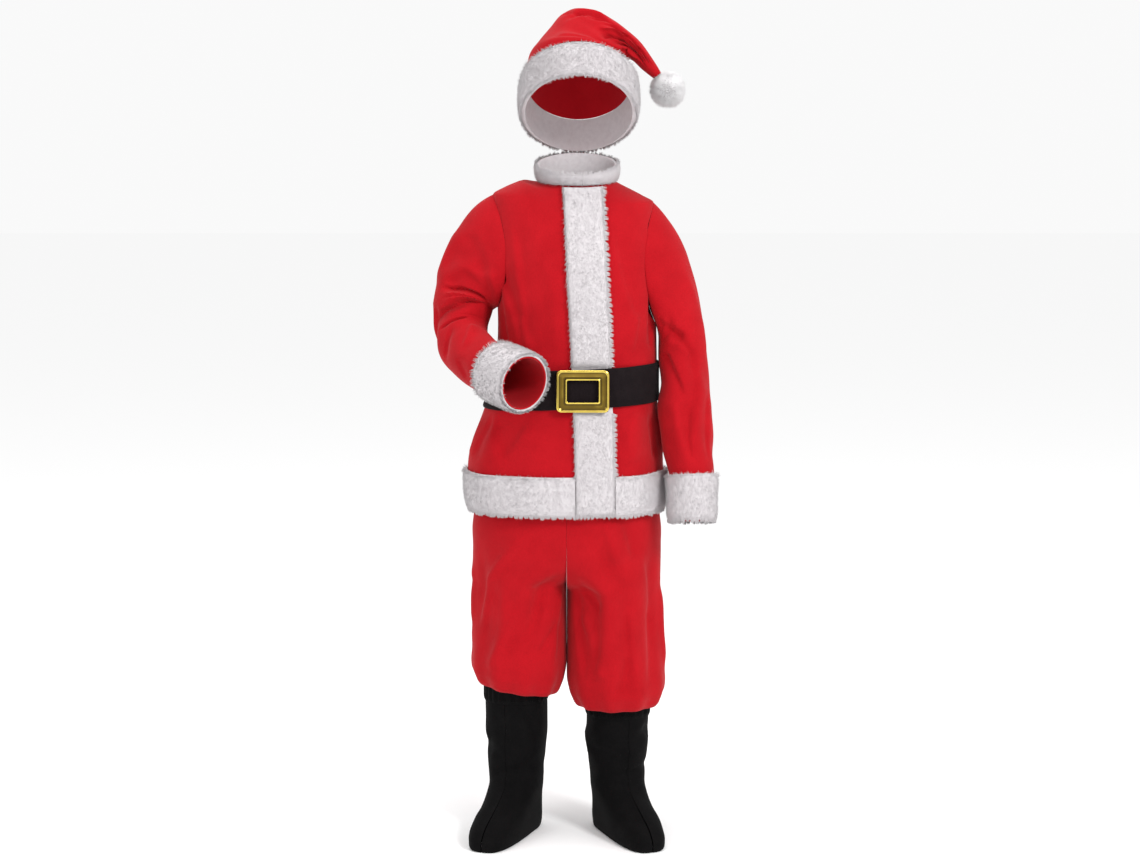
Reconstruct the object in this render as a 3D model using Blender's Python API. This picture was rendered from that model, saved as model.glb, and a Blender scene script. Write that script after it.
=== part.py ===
"""A child's Santa suit as it is worn: hat, jacket, belt, knee trousers and boot covers.

Metres, +Z up, the front faces -Y and +X is the wearer's left. Heights in the tables are above the soles of
the boots; the whole suit hangs under one empty, which puts the origin in the middle of the neck opening.
"""

import math
from collections import namedtuple

import bmesh
import bpy
import numpy as np

# Driving dimensions
NECK_HEIGHT = 0.985
NECK_CENTRE_X = 0.0105
CLOTH = 0.002
SEAM = 0.0003
CLEAR = 0.0011
SEWN = 0.0004
FUR_REACH = 0.009
FUR_EDGE = 0.0045

TORSO_COLUMNS_FRONT = 10
TORSO_COLUMNS_BACK = 16
TORSO_LOW_ROWS = (0.498, 0.527, 0.556, 0.605, 0.654, 0.683, 0.712)
ARMHOLE_STEPS = 9
SHOULDER_ROWS = 4
SLEEVE_HEAD_ROWS = 6
SLEEVE_TUBE_ROWS = 8
LEG_COLUMNS = 30
LEG_ROWS = 14
BOOT_COLUMNS = 7
BOOT_ROWS = 13
CROWN_COLUMNS = 12
CROWN_ROWS = 11

HEM_BOTTOM = 0.498
HEM_TOP = 0.556
ARMPIT_LEFT = 0.770
ARMPIT_RIGHT = 0.798
SHOULDER_HEIGHT = 0.953
ARMHOLE_TURN = 0.62
ARMHOLE_SLACK = 0.004
ARMHOLE_SHARE = 0.994
PLACKET_HALF = 0.0285
PLACKET_TOP = 0.9805
PLACKET_ROWS = 24
PLACKET_PRESSED = 0.0030
PRESSED_ZONE = 1.5
PRESSED_FADE = 0.5
PLACKET_END_ROUNDING = 0.02
PLACKET_END_THICK = 0.0018
NECK_DIP = 0.007
NECK_DIP_START = 0.93
NECK_DIP_SPAN = 0.05
SHOULDER_RAISE = 0.012
RAISE_START = 0.030
RAISE_SPAN = 0.045
RAISE_LOW = 0.88
RAISE_LOW_SPAN = 0.07
RAISE_HIGH = 0.972
RAISE_HIGH_SPAN = 0.012
BELT_STAND = 0.0014
BELT_HEIGHT = 0.058
BELT_MIDDLE = 0.683
BELT_TILT = 0.045
BELT_THICK = 0.0022
BELT_COLUMNS = 40
BELT_RAMP_START = 0.012
BELT_RAMP = 0.03
BELT_SINK = 0.0004
BUCKLE_WIDTH = 0.077
BUCKLE_HEIGHT = 0.062
BUCKLE_OPEN_WIDTH = 0.045
BUCKLE_OPEN_HEIGHT = 0.031
BUCKLE_THICK = 0.006
BUCKLE_X = 0.0185
BUCKLE_DROP = 0.002
BUCKLE_OUTER_CORNER = 0.0075
BUCKLE_INNER_CORNER = 0.0020
CUFF_HEIGHT = 0.066
COLLAR_COLUMNS = 24
COLLAR_RISE = 0.0245
COLLAR_BACK_RISE = 0.0095
COLLAR_LEAN = 0.004
COLLAR_GAP = 0.0035
COLLAR_EDGE_OUT = 0.0035
COLLAR_BULGE_OUT = 0.0050
COLLAR_EDGE_IN = 0.0015
COLLAR_BULGE_IN = 0.0025
BRIM_HEIGHT = 0.047
POMPOM_RADIUS = 0.0255
POMPOM_CENTRE = (0.1445, 0.004, 1.1185)
TROUSERS_X = -0.005
TROUSERS_Y = 0.002
KNEE_WAVES = 10
LEG_DROP = 0.0135
LEG_DROP_START = 0.46
LEG_DROP_SPAN = 0.2
LEFT_LEG_WIDER = 0.030
HEM_TILTS = {1: 0.001, -1: 0.009}
HEM_TILT_START = 0.30
HEM_TILT_SPAN = 0.09
LEG_SEAM_CALM = 0.12
WAIST_WAVES = 16
WAIST_WAVE = 0.0018
WAISTBAND_HEIGHT = 0.026
WAISTBAND_THICK = 0.0028
BOOT_CLOTH = 0.0016
CASING_HEIGHT = 0.028
CASING_EDGE = 0.0008
CASING_THICK = 0.0018
STRAP_TURNS = (-0.62, -0.28)
STRAP_INSET = 0.07
STRAP_THICK = 0.0012
STRAP_SPANS = 4

# The jacket's body by height: half sizes of each level section, its centre and how square it is
Section = namedtuple("Section", "height half_width half_depth centre_x centre_y squareness")
TORSO = (
    Section(0.498, 0.1430, 0.1110, -0.0060, 0.003, 2.25),
    Section(0.530, 0.1460, 0.1130, -0.0065, 0.003, 2.25),
    Section(0.560, 0.1465, 0.1120, -0.0068, 0.003, 2.25),
    Section(0.600, 0.1410, 0.1080, -0.0045, 0.002, 2.25),
    Section(0.640, 0.1315, 0.1030, 0.0010, 0.001, 2.25),
    Section(0.680, 0.1235, 0.0985, 0.0060, 0.000, 2.3),
    Section(0.720, 0.1200, 0.0985, 0.0095, 0.000, 2.35),
    Section(0.760, 0.1180, 0.0995, 0.0110, 0.000, 2.4),
    Section(0.800, 0.1180, 0.0995, 0.0105, 0.000, 2.4),
    Section(0.860, 0.1190, 0.0955, 0.0085, 0.001, 2.4),
    Section(0.900, 0.1200, 0.0880, 0.0070, 0.003, 2.35),
    Section(0.930, 0.1205, 0.0785, 0.0060, 0.004, 2.3),
    Section(0.953, 0.1190, 0.0690, 0.0050, 0.004, 2.2),
    Section(0.963, 0.1030, 0.0640, 0.0050, 0.003, 2.1),
    Section(0.972, 0.0830, 0.0590, 0.0070, 0.002, 2.0),
    Section(0.979, 0.0665, 0.0555, 0.0090, 0.001, 2.0),
    Section(0.985, 0.0535, 0.0520, 0.0105, 0.000, 2.0),
)

# The middle of the front closure at each height
Middle = namedtuple("Middle", "height x")
CLOSURE = (
    Middle(0.498, 0.0360),
    Middle(0.570, 0.0355),
    Middle(0.680, 0.0320),
    Middle(0.760, 0.0290),
    Middle(0.860, 0.0235),
    Middle(0.940, 0.0200),
    Middle(0.985, 0.0175),
)

# Soft folds in the jacket's body: turn is where, seen from above, and lean is how it slants with height
Fold = namedtuple("Fold", "turn low high width depth lean")
TORSO_FOLDS = (
    Fold(-2.45, 0.50, 0.74, 0.028, 0.0040, 0.5),
    Fold(-2.05, 0.48, 0.68, 0.026, -0.0030, -0.3),
    Fold(-0.85, 0.48, 0.68, 0.028, 0.0035, 0.3),
    Fold(-0.40, 0.50, 0.70, 0.026, -0.0030, 0.2),
    Fold(-2.20, 0.70, 0.90, 0.030, 0.0035, -1.2),
    Fold(-0.90, 0.70, 0.88, 0.030, 0.0030, 1.4),
    Fold(0.70, 0.48, 0.70, 0.030, 0.0045, 0.3),
    Fold(1.30, 0.49, 0.69, 0.028, -0.0035, 0.0),
    Fold(1.95, 0.48, 0.70, 0.030, 0.0045, -0.3),
    Fold(2.55, 0.50, 0.72, 0.028, -0.0035, 0.3),
    Fold(1.20, 0.70, 0.90, 0.032, 0.0040, 0.9),
    Fold(2.05, 0.70, 0.90, 0.032, 0.0035, -0.9),
)

# The buckle frame's profile: inward is the share of the way from its outer edge to its opening, forward is
# the share of its thickness
Profile = namedtuple("Profile", "inward forward")
BUCKLE_PROFILE = (
    Profile(0.00, 0.25),
    Profile(0.00, 0.75),
    Profile(0.14, 1.00),
    Profile(0.36, 1.00),
    Profile(0.72, 0.62),
    Profile(1.00, 0.55),
    Profile(1.00, 0.00),
    Profile(0.10, 0.00),
)

# How a sleeve leaves the armhole, at the armpit and at the shoulder: sideways and down, with a push forward
Leave = namedtuple("Leave", "aside down")
LEAVE_ARMPIT = Leave(0.42, 0.90)
LEAVE_SHOULDER_HANGING = Leave(0.68, 0.62)
LEAVE_SHOULDER_BENT = Leave(0.95, 0.42)
LEAVE_FORWARD = 0.10
ARRIVE = 0.9

# A sleeve below its head: the tube's middle, its half size across and its half size from front to back
Ring = namedtuple("Ring", "x y z across deep")
SLEEVE_HANGING = (
    Ring(0.1674, -0.024, 0.725, 0.0364, 0.0450),
    Ring(0.1706, -0.033, 0.690, 0.0361, 0.0430),
    Ring(0.1698, -0.038, 0.650, 0.0400, 0.0420),
    Ring(0.1737, -0.044, 0.605, 0.0390, 0.0400),
    Ring(0.1795, -0.050, 0.560, 0.0340, 0.0370),
    Ring(0.1800, -0.058, 0.522, 0.0303, 0.0345),
    Ring(0.1800, -0.065, 0.486, 0.0298, 0.0335),
)
SLEEVE_BENT = (
    Ring(-0.1597, -0.002, 0.7975, 0.0450, 0.0440),
    Ring(-0.1625, -0.009, 0.774, 0.0410, 0.0420),
    Ring(-0.1615, -0.021, 0.756, 0.0400, 0.0410),
    Ring(-0.1560, -0.038, 0.743, 0.0392, 0.0405),
    Ring(-0.1450, -0.058, 0.733, 0.0388, 0.0400),
    Ring(-0.1304, -0.082, 0.722, 0.0385, 0.0390),
    Ring(-0.1098, -0.109, 0.713, 0.0380, 0.0385),
    Ring(-0.0875, -0.137, 0.706, 0.0380, 0.0385),
    Ring(-0.0646, -0.165, 0.699, 0.0385, 0.0390),
)

# Creases round a sleeve: along is where, 0 at the armhole and 2 at the wrist, turn is which side
Crease = namedtuple("Crease", "along turn length width depth slant")
CREASES_HANGING = (
    Crease(0.55, 2.2, 0.9, 0.10, -0.0035, 0.25),
    Crease(0.85, 1.2, 0.9, 0.08, -0.0035, -0.20),
    Crease(1.12, 2.4, 1.0, 0.08, -0.0035, 0.15),
    Crease(1.34, 1.4, 1.1, 0.07, -0.0035, -0.10),
    Crease(1.55, 2.8, 1.2, 0.07, -0.0030, 0.12),
    Crease(0.70, -2.0, 1.0, 0.10, -0.0035, 0.20),
    Crease(1.25, -1.8, 1.1, 0.08, -0.0035, -0.12),
)
CREASES_BENT = (
    Crease(0.50, 2.2, 0.9, 0.10, -0.0035, 0.30),
    Crease(0.80, 2.0, 0.9, 0.09, -0.0030, -0.20),
    Crease(1.16, 2.3, 0.9, 0.07, -0.0030, 0.05),
    Crease(1.40, 2.6, 1.0, 0.07, -0.0035, 0.10),
    Crease(1.56, 1.6, 1.0, 0.06, -0.0030, 0.10),
    Crease(1.25, -2.9, 0.8, 0.07, -0.0035, 0.00),
)

# Where a sleeve's creases start, and how far under the armpit they are left out
CREASE_START = 0.25
CREASE_CALM_TURN = 1.2
CREASE_CALM_END = 1.2
CREASE_CALM_FADE = 0.2

# One trouser leg from the waist down and round its rolled hem; centre is the leg's own middle from the
# middle of the trousers, and gather is the height of the gathers there
Leg = namedtuple("Leg", "height centre half_width half_depth gather")
TROUSER_LEG = (
    Leg(0.652, 0.0000, 0.1094, 0.0860, 0.0016),
    Leg(0.620, 0.0000, 0.1150, 0.0920, 0.0008),
    Leg(0.570, 0.0000, 0.1260, 0.0985, 0.0000),
    Leg(0.520, 0.0020, 0.1340, 0.1020, 0.0000),
    Leg(0.475, 0.0130, 0.1285, 0.1010, 0.0000),
    Leg(0.440, 0.0310, 0.1110, 0.0970, 0.0000),
    Leg(0.412, 0.0490, 0.0925, 0.0915, 0.0000),
    Leg(0.394, 0.0610, 0.0795, 0.0870, 0.0000),
    Leg(0.378, 0.0692, 0.0691, 0.0830, 0.0000),
    Leg(0.362, 0.0694, 0.0690, 0.0805, 0.0000),
    Leg(0.320, 0.0696, 0.0692, 0.0780, 0.0002),
    Leg(0.280, 0.0711, 0.0706, 0.0775, 0.0006),
    Leg(0.250, 0.0729, 0.0720, 0.0790, 0.0012),
    Leg(0.231, 0.0738, 0.0698, 0.0770, 0.0020),
    Leg(0.2165, 0.0740, 0.0642, 0.0710, 0.0026),
    Leg(0.2085, 0.0737, 0.0572, 0.0625, 0.0026),
    Leg(0.2125, 0.0735, 0.0526, 0.0564, 0.0020),
    Leg(0.222, 0.0737, 0.0502, 0.0527, 0.0014),
)
LEG_FOLDS = (
    Fold(-0.60, 0.24, 0.47, 0.016, -0.0050, 0.6),
    Fold(-1.35, 0.24, 0.46, 0.015, -0.0045, -0.9),
    Fold(-2.05, 0.26, 0.44, 0.014, -0.0050, -1.6),
    Fold(-0.05, 0.25, 0.40, 0.016, 0.0035, 0.4),
    Fold(0.70, 0.24, 0.46, 0.017, -0.0045, 0.5),
    Fold(1.50, 0.24, 0.48, 0.018, 0.0045, -0.5),
    Fold(2.15, 0.26, 0.45, 0.015, -0.0045, 1.2),
)

# A boot cover from its top down, under its sole edge: reaches are from the ankle's middle
Boot = namedtuple("Boot", "height half_width toe_reach heel_reach")
BOOT = (
    Boot(0.207, 0.0455, 0.0465, 0.0465),
    Boot(0.180, 0.0458, 0.0470, 0.0470),
    Boot(0.145, 0.0460, 0.0470, 0.0470),
    Boot(0.112, 0.0430, 0.0455, 0.0450),
    Boot(0.086, 0.0402, 0.0455, 0.0440),
    Boot(0.068, 0.0392, 0.0545, 0.0440),
    Boot(0.055, 0.0372, 0.0720, 0.0435),
    Boot(0.044, 0.0362, 0.0940, 0.0440),
    Boot(0.034, 0.0360, 0.1150, 0.0445),
    Boot(0.024, 0.0360, 0.1310, 0.0450),
    Boot(0.014, 0.0356, 0.1390, 0.0455),
    Boot(0.005, 0.0346, 0.1395, 0.0450),
    Boot(0.000, 0.0315, 0.1360, 0.0420),
    Boot(0.000, 0.0210, 0.1245, 0.0315),
)
TOE_WIDER = 0.12
TOE_SQUARER = 0.8
FOOT_TOP = 0.075
FOOT_FADE = 0.045
BOOT_CREASE_START = 0.05
SHAFT_START = 0.07
SHAFT_SPAN = 0.13
BOOT_SQUARENESS = 2.25
# side is +1 on the wearer's left; top is the lift of the shaft's top edge over the table's
Stand = namedtuple("Stand", "side x y turned_out top")
BOOTS = (
    Stand(1, 0.0723, 0.004, math.radians(21), 0.000),
    Stand(-1, -0.0815, 0.004, math.radians(21), 0.025),
)
# Slack folds round a boot's shaft, as creases over height in metres
BOOT_CREASES = (
    Crease(0.150, -1.2, 1.3, 0.009, -0.0035, 0.010),
    Crease(0.122, -2.2, 1.4, 0.008, -0.0040, -0.008),
    Crease(0.098, -1.0, 1.4, 0.008, -0.0040, 0.008),
    Crease(0.074, -1.6, 1.5, 0.007, -0.0035, 0.000),
    Crease(0.135, 1.6, 1.3, 0.009, -0.0035, 0.008),
    Crease(0.092, 1.3, 1.4, 0.008, -0.0035, -0.006),
)

# The hat's crown, ring by ring to the tip: each ring stands on the line from its under point to its top
# point, seen from the front, and tilt is how far its front is lifted over its back
Hoop = namedtuple("Hoop", "top_x top_z under_x under_z depth tilt")
CROWN = (
    Hoop(-0.0665, 1.1300, 0.0925, 1.1300, 0.0920, 0.0520),
    Hoop(-0.0620, 1.1570, 0.0870, 1.1450, 0.0880, 0.0370),
    Hoop(-0.0475, 1.1830, 0.0845, 1.1530, 0.0800, 0.0200),
    Hoop(-0.0300, 1.2060, 0.0840, 1.1570, 0.0690, 0.0080),
    Hoop(-0.0120, 1.2270, 0.0850, 1.1600, 0.0580, 0.0020),
    Hoop(0.0100, 1.2360, 0.0865, 1.1615, 0.0480, 0.0000),
    Hoop(0.0350, 1.2335, 0.0885, 1.1620, 0.0400, 0.0000),
    Hoop(0.0620, 1.2200, 0.0910, 1.1610, 0.0335, 0.0000),
    Hoop(0.0860, 1.2030, 0.0945, 1.1585, 0.0280, 0.0000),
    Hoop(0.1070, 1.1830, 0.0990, 1.1540, 0.0230, 0.0000),
    Hoop(0.1210, 1.1640, 0.1050, 1.1480, 0.0175, 0.0000),
    Hoop(0.1345, 1.1419, 0.1234, 1.1339, 0.0080, 0.0000),
)
# Soft hollows where the crown falls over to its side, as creases over place
CROWN_FOLDS = (
    Crease(0.30, -0.9, 1.3, 0.09, -0.006, 0.05),
    Crease(0.45, -1.5, 1.0, 0.07, -0.005, 0.05),
    Crease(0.36, 1.1, 1.3, 0.10, -0.006, 0.05),
    Crease(0.62, -1.0, 1.2, 0.06, -0.003, 0.05),
)
CROWN_FOLD_REACH = 0.05
CROWN_SEAM_RADIUS = 0.05
CROWN_LIFT_SPAN = 0.12
HAT_Y = 0.005
BRIM_X = 0.013
BRIM_HALF_WIDTH = 0.0800
BRIM_HALF_DEPTH = 0.0920
BRIM_SIDE_BOTTOM = 1.0825
BRIM_FRONT_LIFT = 0.0525
BRIM_LEAN = 0.002
BRIM_INSIDE = 0.0025
BRIM_EDGE = 0.004
BRIM_REACH = 0.0105
BRIM_ROUNDING = 0.3
POMPOM_TUFTS = 3
POMPOM_TUFT = 0.03

# Colours as the finish of each material: base colour, roughness, metallic
RED = (0.62, 0.012, 0.020)
WHITE = (0.86, 0.83, 0.84)
BLACK_CLOTH = (0.018, 0.016, 0.017)
BLACK_BOOT = (0.012, 0.012, 0.014)
GOLD = (0.83, 0.60, 0.16)


def eased(t):
    """A smooth step from 0 to 1."""
    t = np.clip(t, 0.0, 1.0)
    return t * t * (3 - 2 * t)


def column(rows, name):
    return np.array([getattr(row, name) for row in rows], float)


def smooth_line(xs, ys, at, keep_level=True):
    """Reads a curve through the points at the places asked for; keep_level stops it from overshooting."""
    steps = np.diff(xs)
    slopes = np.diff(ys) / steps
    bends = np.empty(len(xs))
    bends[0], bends[-1] = slopes[0], slopes[-1]
    if keep_level:
        both = slopes[:-1] * slopes[1:]
        total = np.where(both > 0, slopes[:-1] + slopes[1:], 1.0)
        bends[1:-1] = np.where(both > 0, 2 * both / total, 0.0)
    else:
        bends[1:-1] = (slopes[:-1] * steps[1:] + slopes[1:] * steps[:-1]) / (steps[1:] + steps[:-1])
    at = np.clip(at, xs[0], xs[-1])
    k = np.clip(np.searchsorted(xs, at, side="right") - 1, 0, len(steps) - 1)
    t = (at - xs[k]) / steps[k]
    from_start = (1 + 2 * t) * (1 - t) ** 2 * ys[k] + t * (1 - t) ** 2 * steps[k] * bends[k]
    from_end = t * t * (3 - 2 * t) * ys[k + 1] + t * t * (t - 1) * steps[k] * bends[k + 1]
    return from_start + from_end


def by_height(rows, name, height):
    return smooth_line(column(rows, "height"), column(rows, name), height)


def by_row(rows, name, place, keep_level=True):
    """Reads a column at a place from 0 at the first row to 1 at the last."""
    return smooth_line(np.linspace(0, 1, len(rows)), column(rows, name), place, keep_level)


def power(value, exponent):
    return np.sign(value) * np.abs(value) ** exponent


def turned(angle):
    """The same angle between -pi and pi."""
    return (angle + math.pi) % (2 * math.pi) - math.pi


def joined(x, y, z):
    return np.stack(np.broadcast_arrays(x, y, z), axis=-1)


def outward(surface, u, v, side=1):
    """Unit normals of a surface, from its own small steps."""
    step = 1e-4
    across = surface(u + step, v) - surface(u - step, v)
    along = surface(u, v + step) - surface(u, v - step)
    normal = np.cross(across, along)
    return side * normal / np.maximum(np.linalg.norm(normal, axis=-1, keepdims=True), 1e-12)


def fold_sum(folds, turn, height, radius):
    """How far the folds move the cloth outward."""
    total = np.zeros(np.broadcast(turn, height).shape)
    for f in folds:
        middle = (f.low + f.high) / 2
        aside = turned(turn - f.turn - f.lean * (height - middle)) * radius / f.width
        span = 0.35 * (f.high - f.low)
        window = eased((height - f.low) / span) * eased((f.high - height) / span)
        total = total + f.depth * window * np.exp(-(aside**2))
    return total


def crease_sum(creases, turn, along):
    total = np.zeros(np.broadcast(turn, along).shape)
    for c in creases:
        aside = turned(turn - c.turn)
        across = (along - c.along - c.slant * aside) / c.width
        total = total + c.depth * np.exp(-(across**2)) * eased(1 - np.abs(aside) / c.length)
    return total


# Building meshes


def material(name, colour, roughness, metallic=0.0):
    made = bpy.data.materials.new(name)
    made.use_nodes = True
    shader = made.node_tree.nodes["Principled BSDF"]
    shader.inputs["Base Color"].default_value = (*colour, 1.0)
    shader.inputs["Roughness"].default_value = roughness
    shader.inputs["Metallic"].default_value = metallic
    made.diffuse_color = (*colour, 1.0)
    return made


def solid(name, points, faces, finish, parent):
    """One closed body from its points and faces, with every face turned outward."""
    mesh = bpy.data.meshes.new(name)
    shape = bmesh.new()
    made = [shape.verts.new(tuple(map(float, p))) for p in points]
    for face in faces:
        shape.faces.new([made[k] for k in face])
    bmesh.ops.recalc_face_normals(shape, faces=shape.faces)
    if shape.calc_volume(signed=True) < 0:
        bmesh.ops.reverse_faces(shape, faces=shape.faces)
    shape.to_mesh(mesh)
    shape.free()
    mesh.shade_smooth()
    mesh.set_sharp_from_angle(angle=math.radians(50))
    mesh.materials.append(finish)
    item = bpy.data.objects.new(name, mesh)
    bpy.context.scene.collection.objects.link(item)
    item.parent = parent
    return item


def wall(name, outer, inner, finish, parent, closed=False):
    """A sheet between two grids of points; closed joins the last column to the first."""
    rows, columns = outer.shape[:2]
    points = np.concatenate([outer.reshape(-1, 3), inner.reshape(-1, 3)])
    shift = rows * columns

    def at(i, j):
        return i * columns + j % columns

    faces = []
    spans = columns if closed else columns - 1
    for i in range(rows - 1):
        for j in range(spans):
            a, b, c, d = at(i, j), at(i, j + 1), at(i + 1, j + 1), at(i + 1, j)
            faces += [(a, b, c), (a, c, d)]
            faces += [(a + shift, c + shift, b + shift), (a + shift, d + shift, c + shift)]
    for j in range(spans):
        for i in (0, rows - 1):
            a, b = at(i, j), at(i, j + 1)
            faces += [(a, b, b + shift), (a, b + shift, a + shift)]
    if not closed:
        for i in range(rows - 1):
            for j in (0, columns - 1):
                a, b = at(i, j), at(i + 1, j)
                faces += [(a, b, b + shift), (a, b + shift, a + shift)]
    return solid(name, points, faces, finish, parent)


def cloth(name, surface, u, v, finish, parent, side=1, closed=False, thick=CLOTH):
    """A cloth wall whose outer face is the surface."""
    outer = surface(u, v)
    return wall(name, outer, outer - thick * outward(surface, u, v, side), finish, parent, closed)


def laid_on(name, surface, u, v, low, high, finish, parent, side=1, closed=False):
    """A band on a surface, from its points moved out by low and by high."""
    base = surface(u, v)
    normal = outward(surface, u, v, side)
    low = np.broadcast_to(low, u.shape)[..., None]
    high = np.broadcast_to(high, u.shape)[..., None]
    return wall(name, base + high * normal, base + low * normal, finish, parent, closed)


def rounded(share, edge=FUR_EDGE, reach=FUR_REACH, corner=0.2):
    """The height of a fur band over its cloth at a share of its width: low at both edges."""
    inset = np.clip(np.minimum(share, 1 - share) / corner, 0.0, 1.0)
    return edge + (reach - edge) * np.sqrt(1 - (1 - inset) ** 2)


FUR_SHARES = np.array([0.0, 0.1, 0.5, 0.9, 1.0])
COLLAR_SHARES = np.array([0.0, 0.25, 0.75, 1.0])
BRIM_SHARES = np.array([0.0, 0.12, 0.5, 0.88, 1.0])
CASING_SHARES = np.array([0.0, 0.12, 0.88, 1.0])

# The jacket's body


def dip(turn, height):
    """The neck line is lower at the front than at the back."""
    return NECK_DIP * np.sin(turn) * eased((height - NECK_DIP_START) / NECK_DIP_SPAN)


def raised(x, height):
    """The shoulder over the bent arm stands higher than the other."""
    up = eased((height - RAISE_LOW) / RAISE_LOW_SPAN) * (1 - eased((height - RAISE_HIGH) / RAISE_HIGH_SPAN))
    return SHOULDER_RAISE * eased((-x - RAISE_START) / RAISE_SPAN) * up


def torso(turn, height):
    a = by_height(TORSO, "half_width", height)
    b = by_height(TORSO, "half_depth", height)
    shape = 2 / by_height(TORSO, "squareness", height)
    cos, sin = np.cos(turn), np.sin(turn)
    lift = fold_sum(TORSO_FOLDS, turn, height, a)
    x = by_height(TORSO, "centre_x", height) + (a + lift) * power(cos, shape)
    y = by_height(TORSO, "centre_y", height) + (b + lift) * power(sin, shape)
    return joined(x, y, height + dip(turn, height) + raised(x, height))


def front_turn(x, height):
    """The turn at which the front of the jacket's body lies at x."""
    a = by_height(TORSO, "half_width", height)
    share = (x - by_height(TORSO, "centre_x", height)) / a
    shape = by_height(TORSO, "squareness", height) / 2
    return -np.arccos(np.clip(power(share, shape), -1, 1))


def closure_turn(height, offset=0.0):
    return front_turn(by_height(CLOSURE, "x", height) + offset, height)


def armpit_height(side):
    return np.where(np.asarray(side) > 0, ARMPIT_LEFT, ARMPIT_RIGHT)


def armhole_height(side, phi):
    armpit = armpit_height(side)
    return (armpit + SHOULDER_HEIGHT) / 2 - (SHOULDER_HEIGHT - armpit) / 2 * np.cos(phi)


def torso_rows(side):
    """Height of each row on one side of the body, and how far the armhole cuts into it."""
    armpit = float(armpit_height(side))
    low = np.array((*TORSO_LOW_ROWS, (TORSO_LOW_ROWS[-1] + armpit) / 2, armpit))
    phi = np.linspace(0, math.pi, ARMHOLE_STEPS + 1)[1:]
    high = np.linspace(SHOULDER_HEIGHT, NECK_HEIGHT, SHOULDER_ROWS + 1)[1:]
    heights = np.concatenate([low, armhole_height(side, phi), high])
    cuts = np.concatenate([0 * low, ARMHOLE_TURN * np.sin(phi), 0 * high])
    return heights, cuts


def spread(start, end, columns):
    """Values from start to end on each row, in even steps."""
    share = np.linspace(0, 1, columns + 1)
    return start[:, None] + (end - start)[:, None] * share[None, :]


def make_torso(red, root):
    """Two fronts and a back; their rows run from the heights on one side to those on the other."""
    left, cuts = torso_rows(1)
    right, _ = torso_rows(-1)
    slack = SEAM / 2 / by_height(TORSO, "half_width", left)
    middle = (left + right) / 2
    panels = {
        "jacket_front_left": (middle, closure_turn(middle) + slack, left, -cuts - slack),
        "jacket_front_right": (right, -math.pi + cuts + slack, middle, closure_turn(middle) - slack),
        "jacket_back": (left, cuts + slack, right, math.pi - cuts - slack),
    }
    for name, (start_height, start, end_height, end) in panels.items():
        columns = TORSO_COLUMNS_BACK if name == "jacket_back" else TORSO_COLUMNS_FRONT
        cloth(name, torso, spread(start, end, columns), spread(start_height, end_height, columns), red, root)


def make_placket(fur, root):
    heights = np.linspace(HEM_BOTTOM, PLACKET_TOP, PLACKET_ROWS + 1)
    share = FUR_SHARES[None, :] + 0 * heights[:, None]
    height = heights[:, None] + 0 * share
    turn = closure_turn(height, (2 * share - 1) * PLACKET_HALF)
    belt_share = np.abs(height - belt_middle(by_height(CLOSURE, "x", height))) / (BELT_HEIGHT / 2)
    pressed = 1 - eased((belt_share - PRESSED_ZONE) / PRESSED_FADE)
    high = rounded(share)
    high = high + (PLACKET_PRESSED - high) * pressed
    along = (height - HEM_BOTTOM) / (PLACKET_TOP - HEM_BOTTOM)
    ends = rounded(along, corner=PLACKET_END_ROUNDING) / FUR_REACH
    laid_on("placket_fur", torso, turn, height, CLEAR, np.maximum(high * ends, PLACKET_END_THICK), fur, root)


def make_hem_band(fur, root):
    """From the placket's edge on the wearer's left round the back to its other edge."""
    heights = HEM_BOTTOM + FUR_SHARES * (HEM_TOP - HEM_BOTTOM)
    edge = PLACKET_HALF + SEAM
    start = closure_turn(heights, edge)
    side = 0 * heights
    end = 2 * math.pi + closure_turn(heights, -edge)
    left = spread(start, side, TORSO_COLUMNS_FRONT)[:, :-1]
    back = spread(side, side + math.pi, TORSO_COLUMNS_BACK)[:, :-1]
    right = spread(side + math.pi, end, TORSO_COLUMNS_FRONT)
    turn = np.concatenate([left, back, right], axis=1)
    height = heights[:, None] + 0 * turn
    high = rounded(FUR_SHARES)[:, None] + 0 * turn
    laid_on("hem_fur", torso, turn, height, CLEAR, high, fur, root)


def collar(turn, share):
    """The collar's middle face: it stands on the neck's edge, higher at the back and sides."""
    base = torso(turn, NECK_HEIGHT + 0 * share)
    rise = COLLAR_RISE + COLLAR_BACK_RISE * np.sin(turn)
    lean = COLLAR_LEAN * share
    radial = joined(np.cos(turn), np.sin(turn), 0 * turn)
    return base + radial * lean[..., None] + joined(0 * turn, 0 * turn, SEAM + share * rise)


def make_collar(fur, root):
    start = float(closure_turn(np.array([NECK_HEIGHT]))[0]) + COLLAR_GAP
    end = start + 2 * math.pi - 2 * COLLAR_GAP
    share = COLLAR_SHARES[:, None]
    turn = np.linspace(start, end, COLLAR_COLUMNS + 1)[None, :] + 0 * share
    share = share + 0 * turn
    bulge = np.sqrt(1 - (2 * share - 1) ** 2)
    high = COLLAR_EDGE_OUT + COLLAR_BULGE_OUT * bulge
    low = -COLLAR_EDGE_IN - COLLAR_BULGE_IN * bulge
    laid_on("collar_fur", collar, turn, share, low, high, fur, root)


def belt_middle(x):
    return BELT_MIDDLE + BELT_TILT * x


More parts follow.
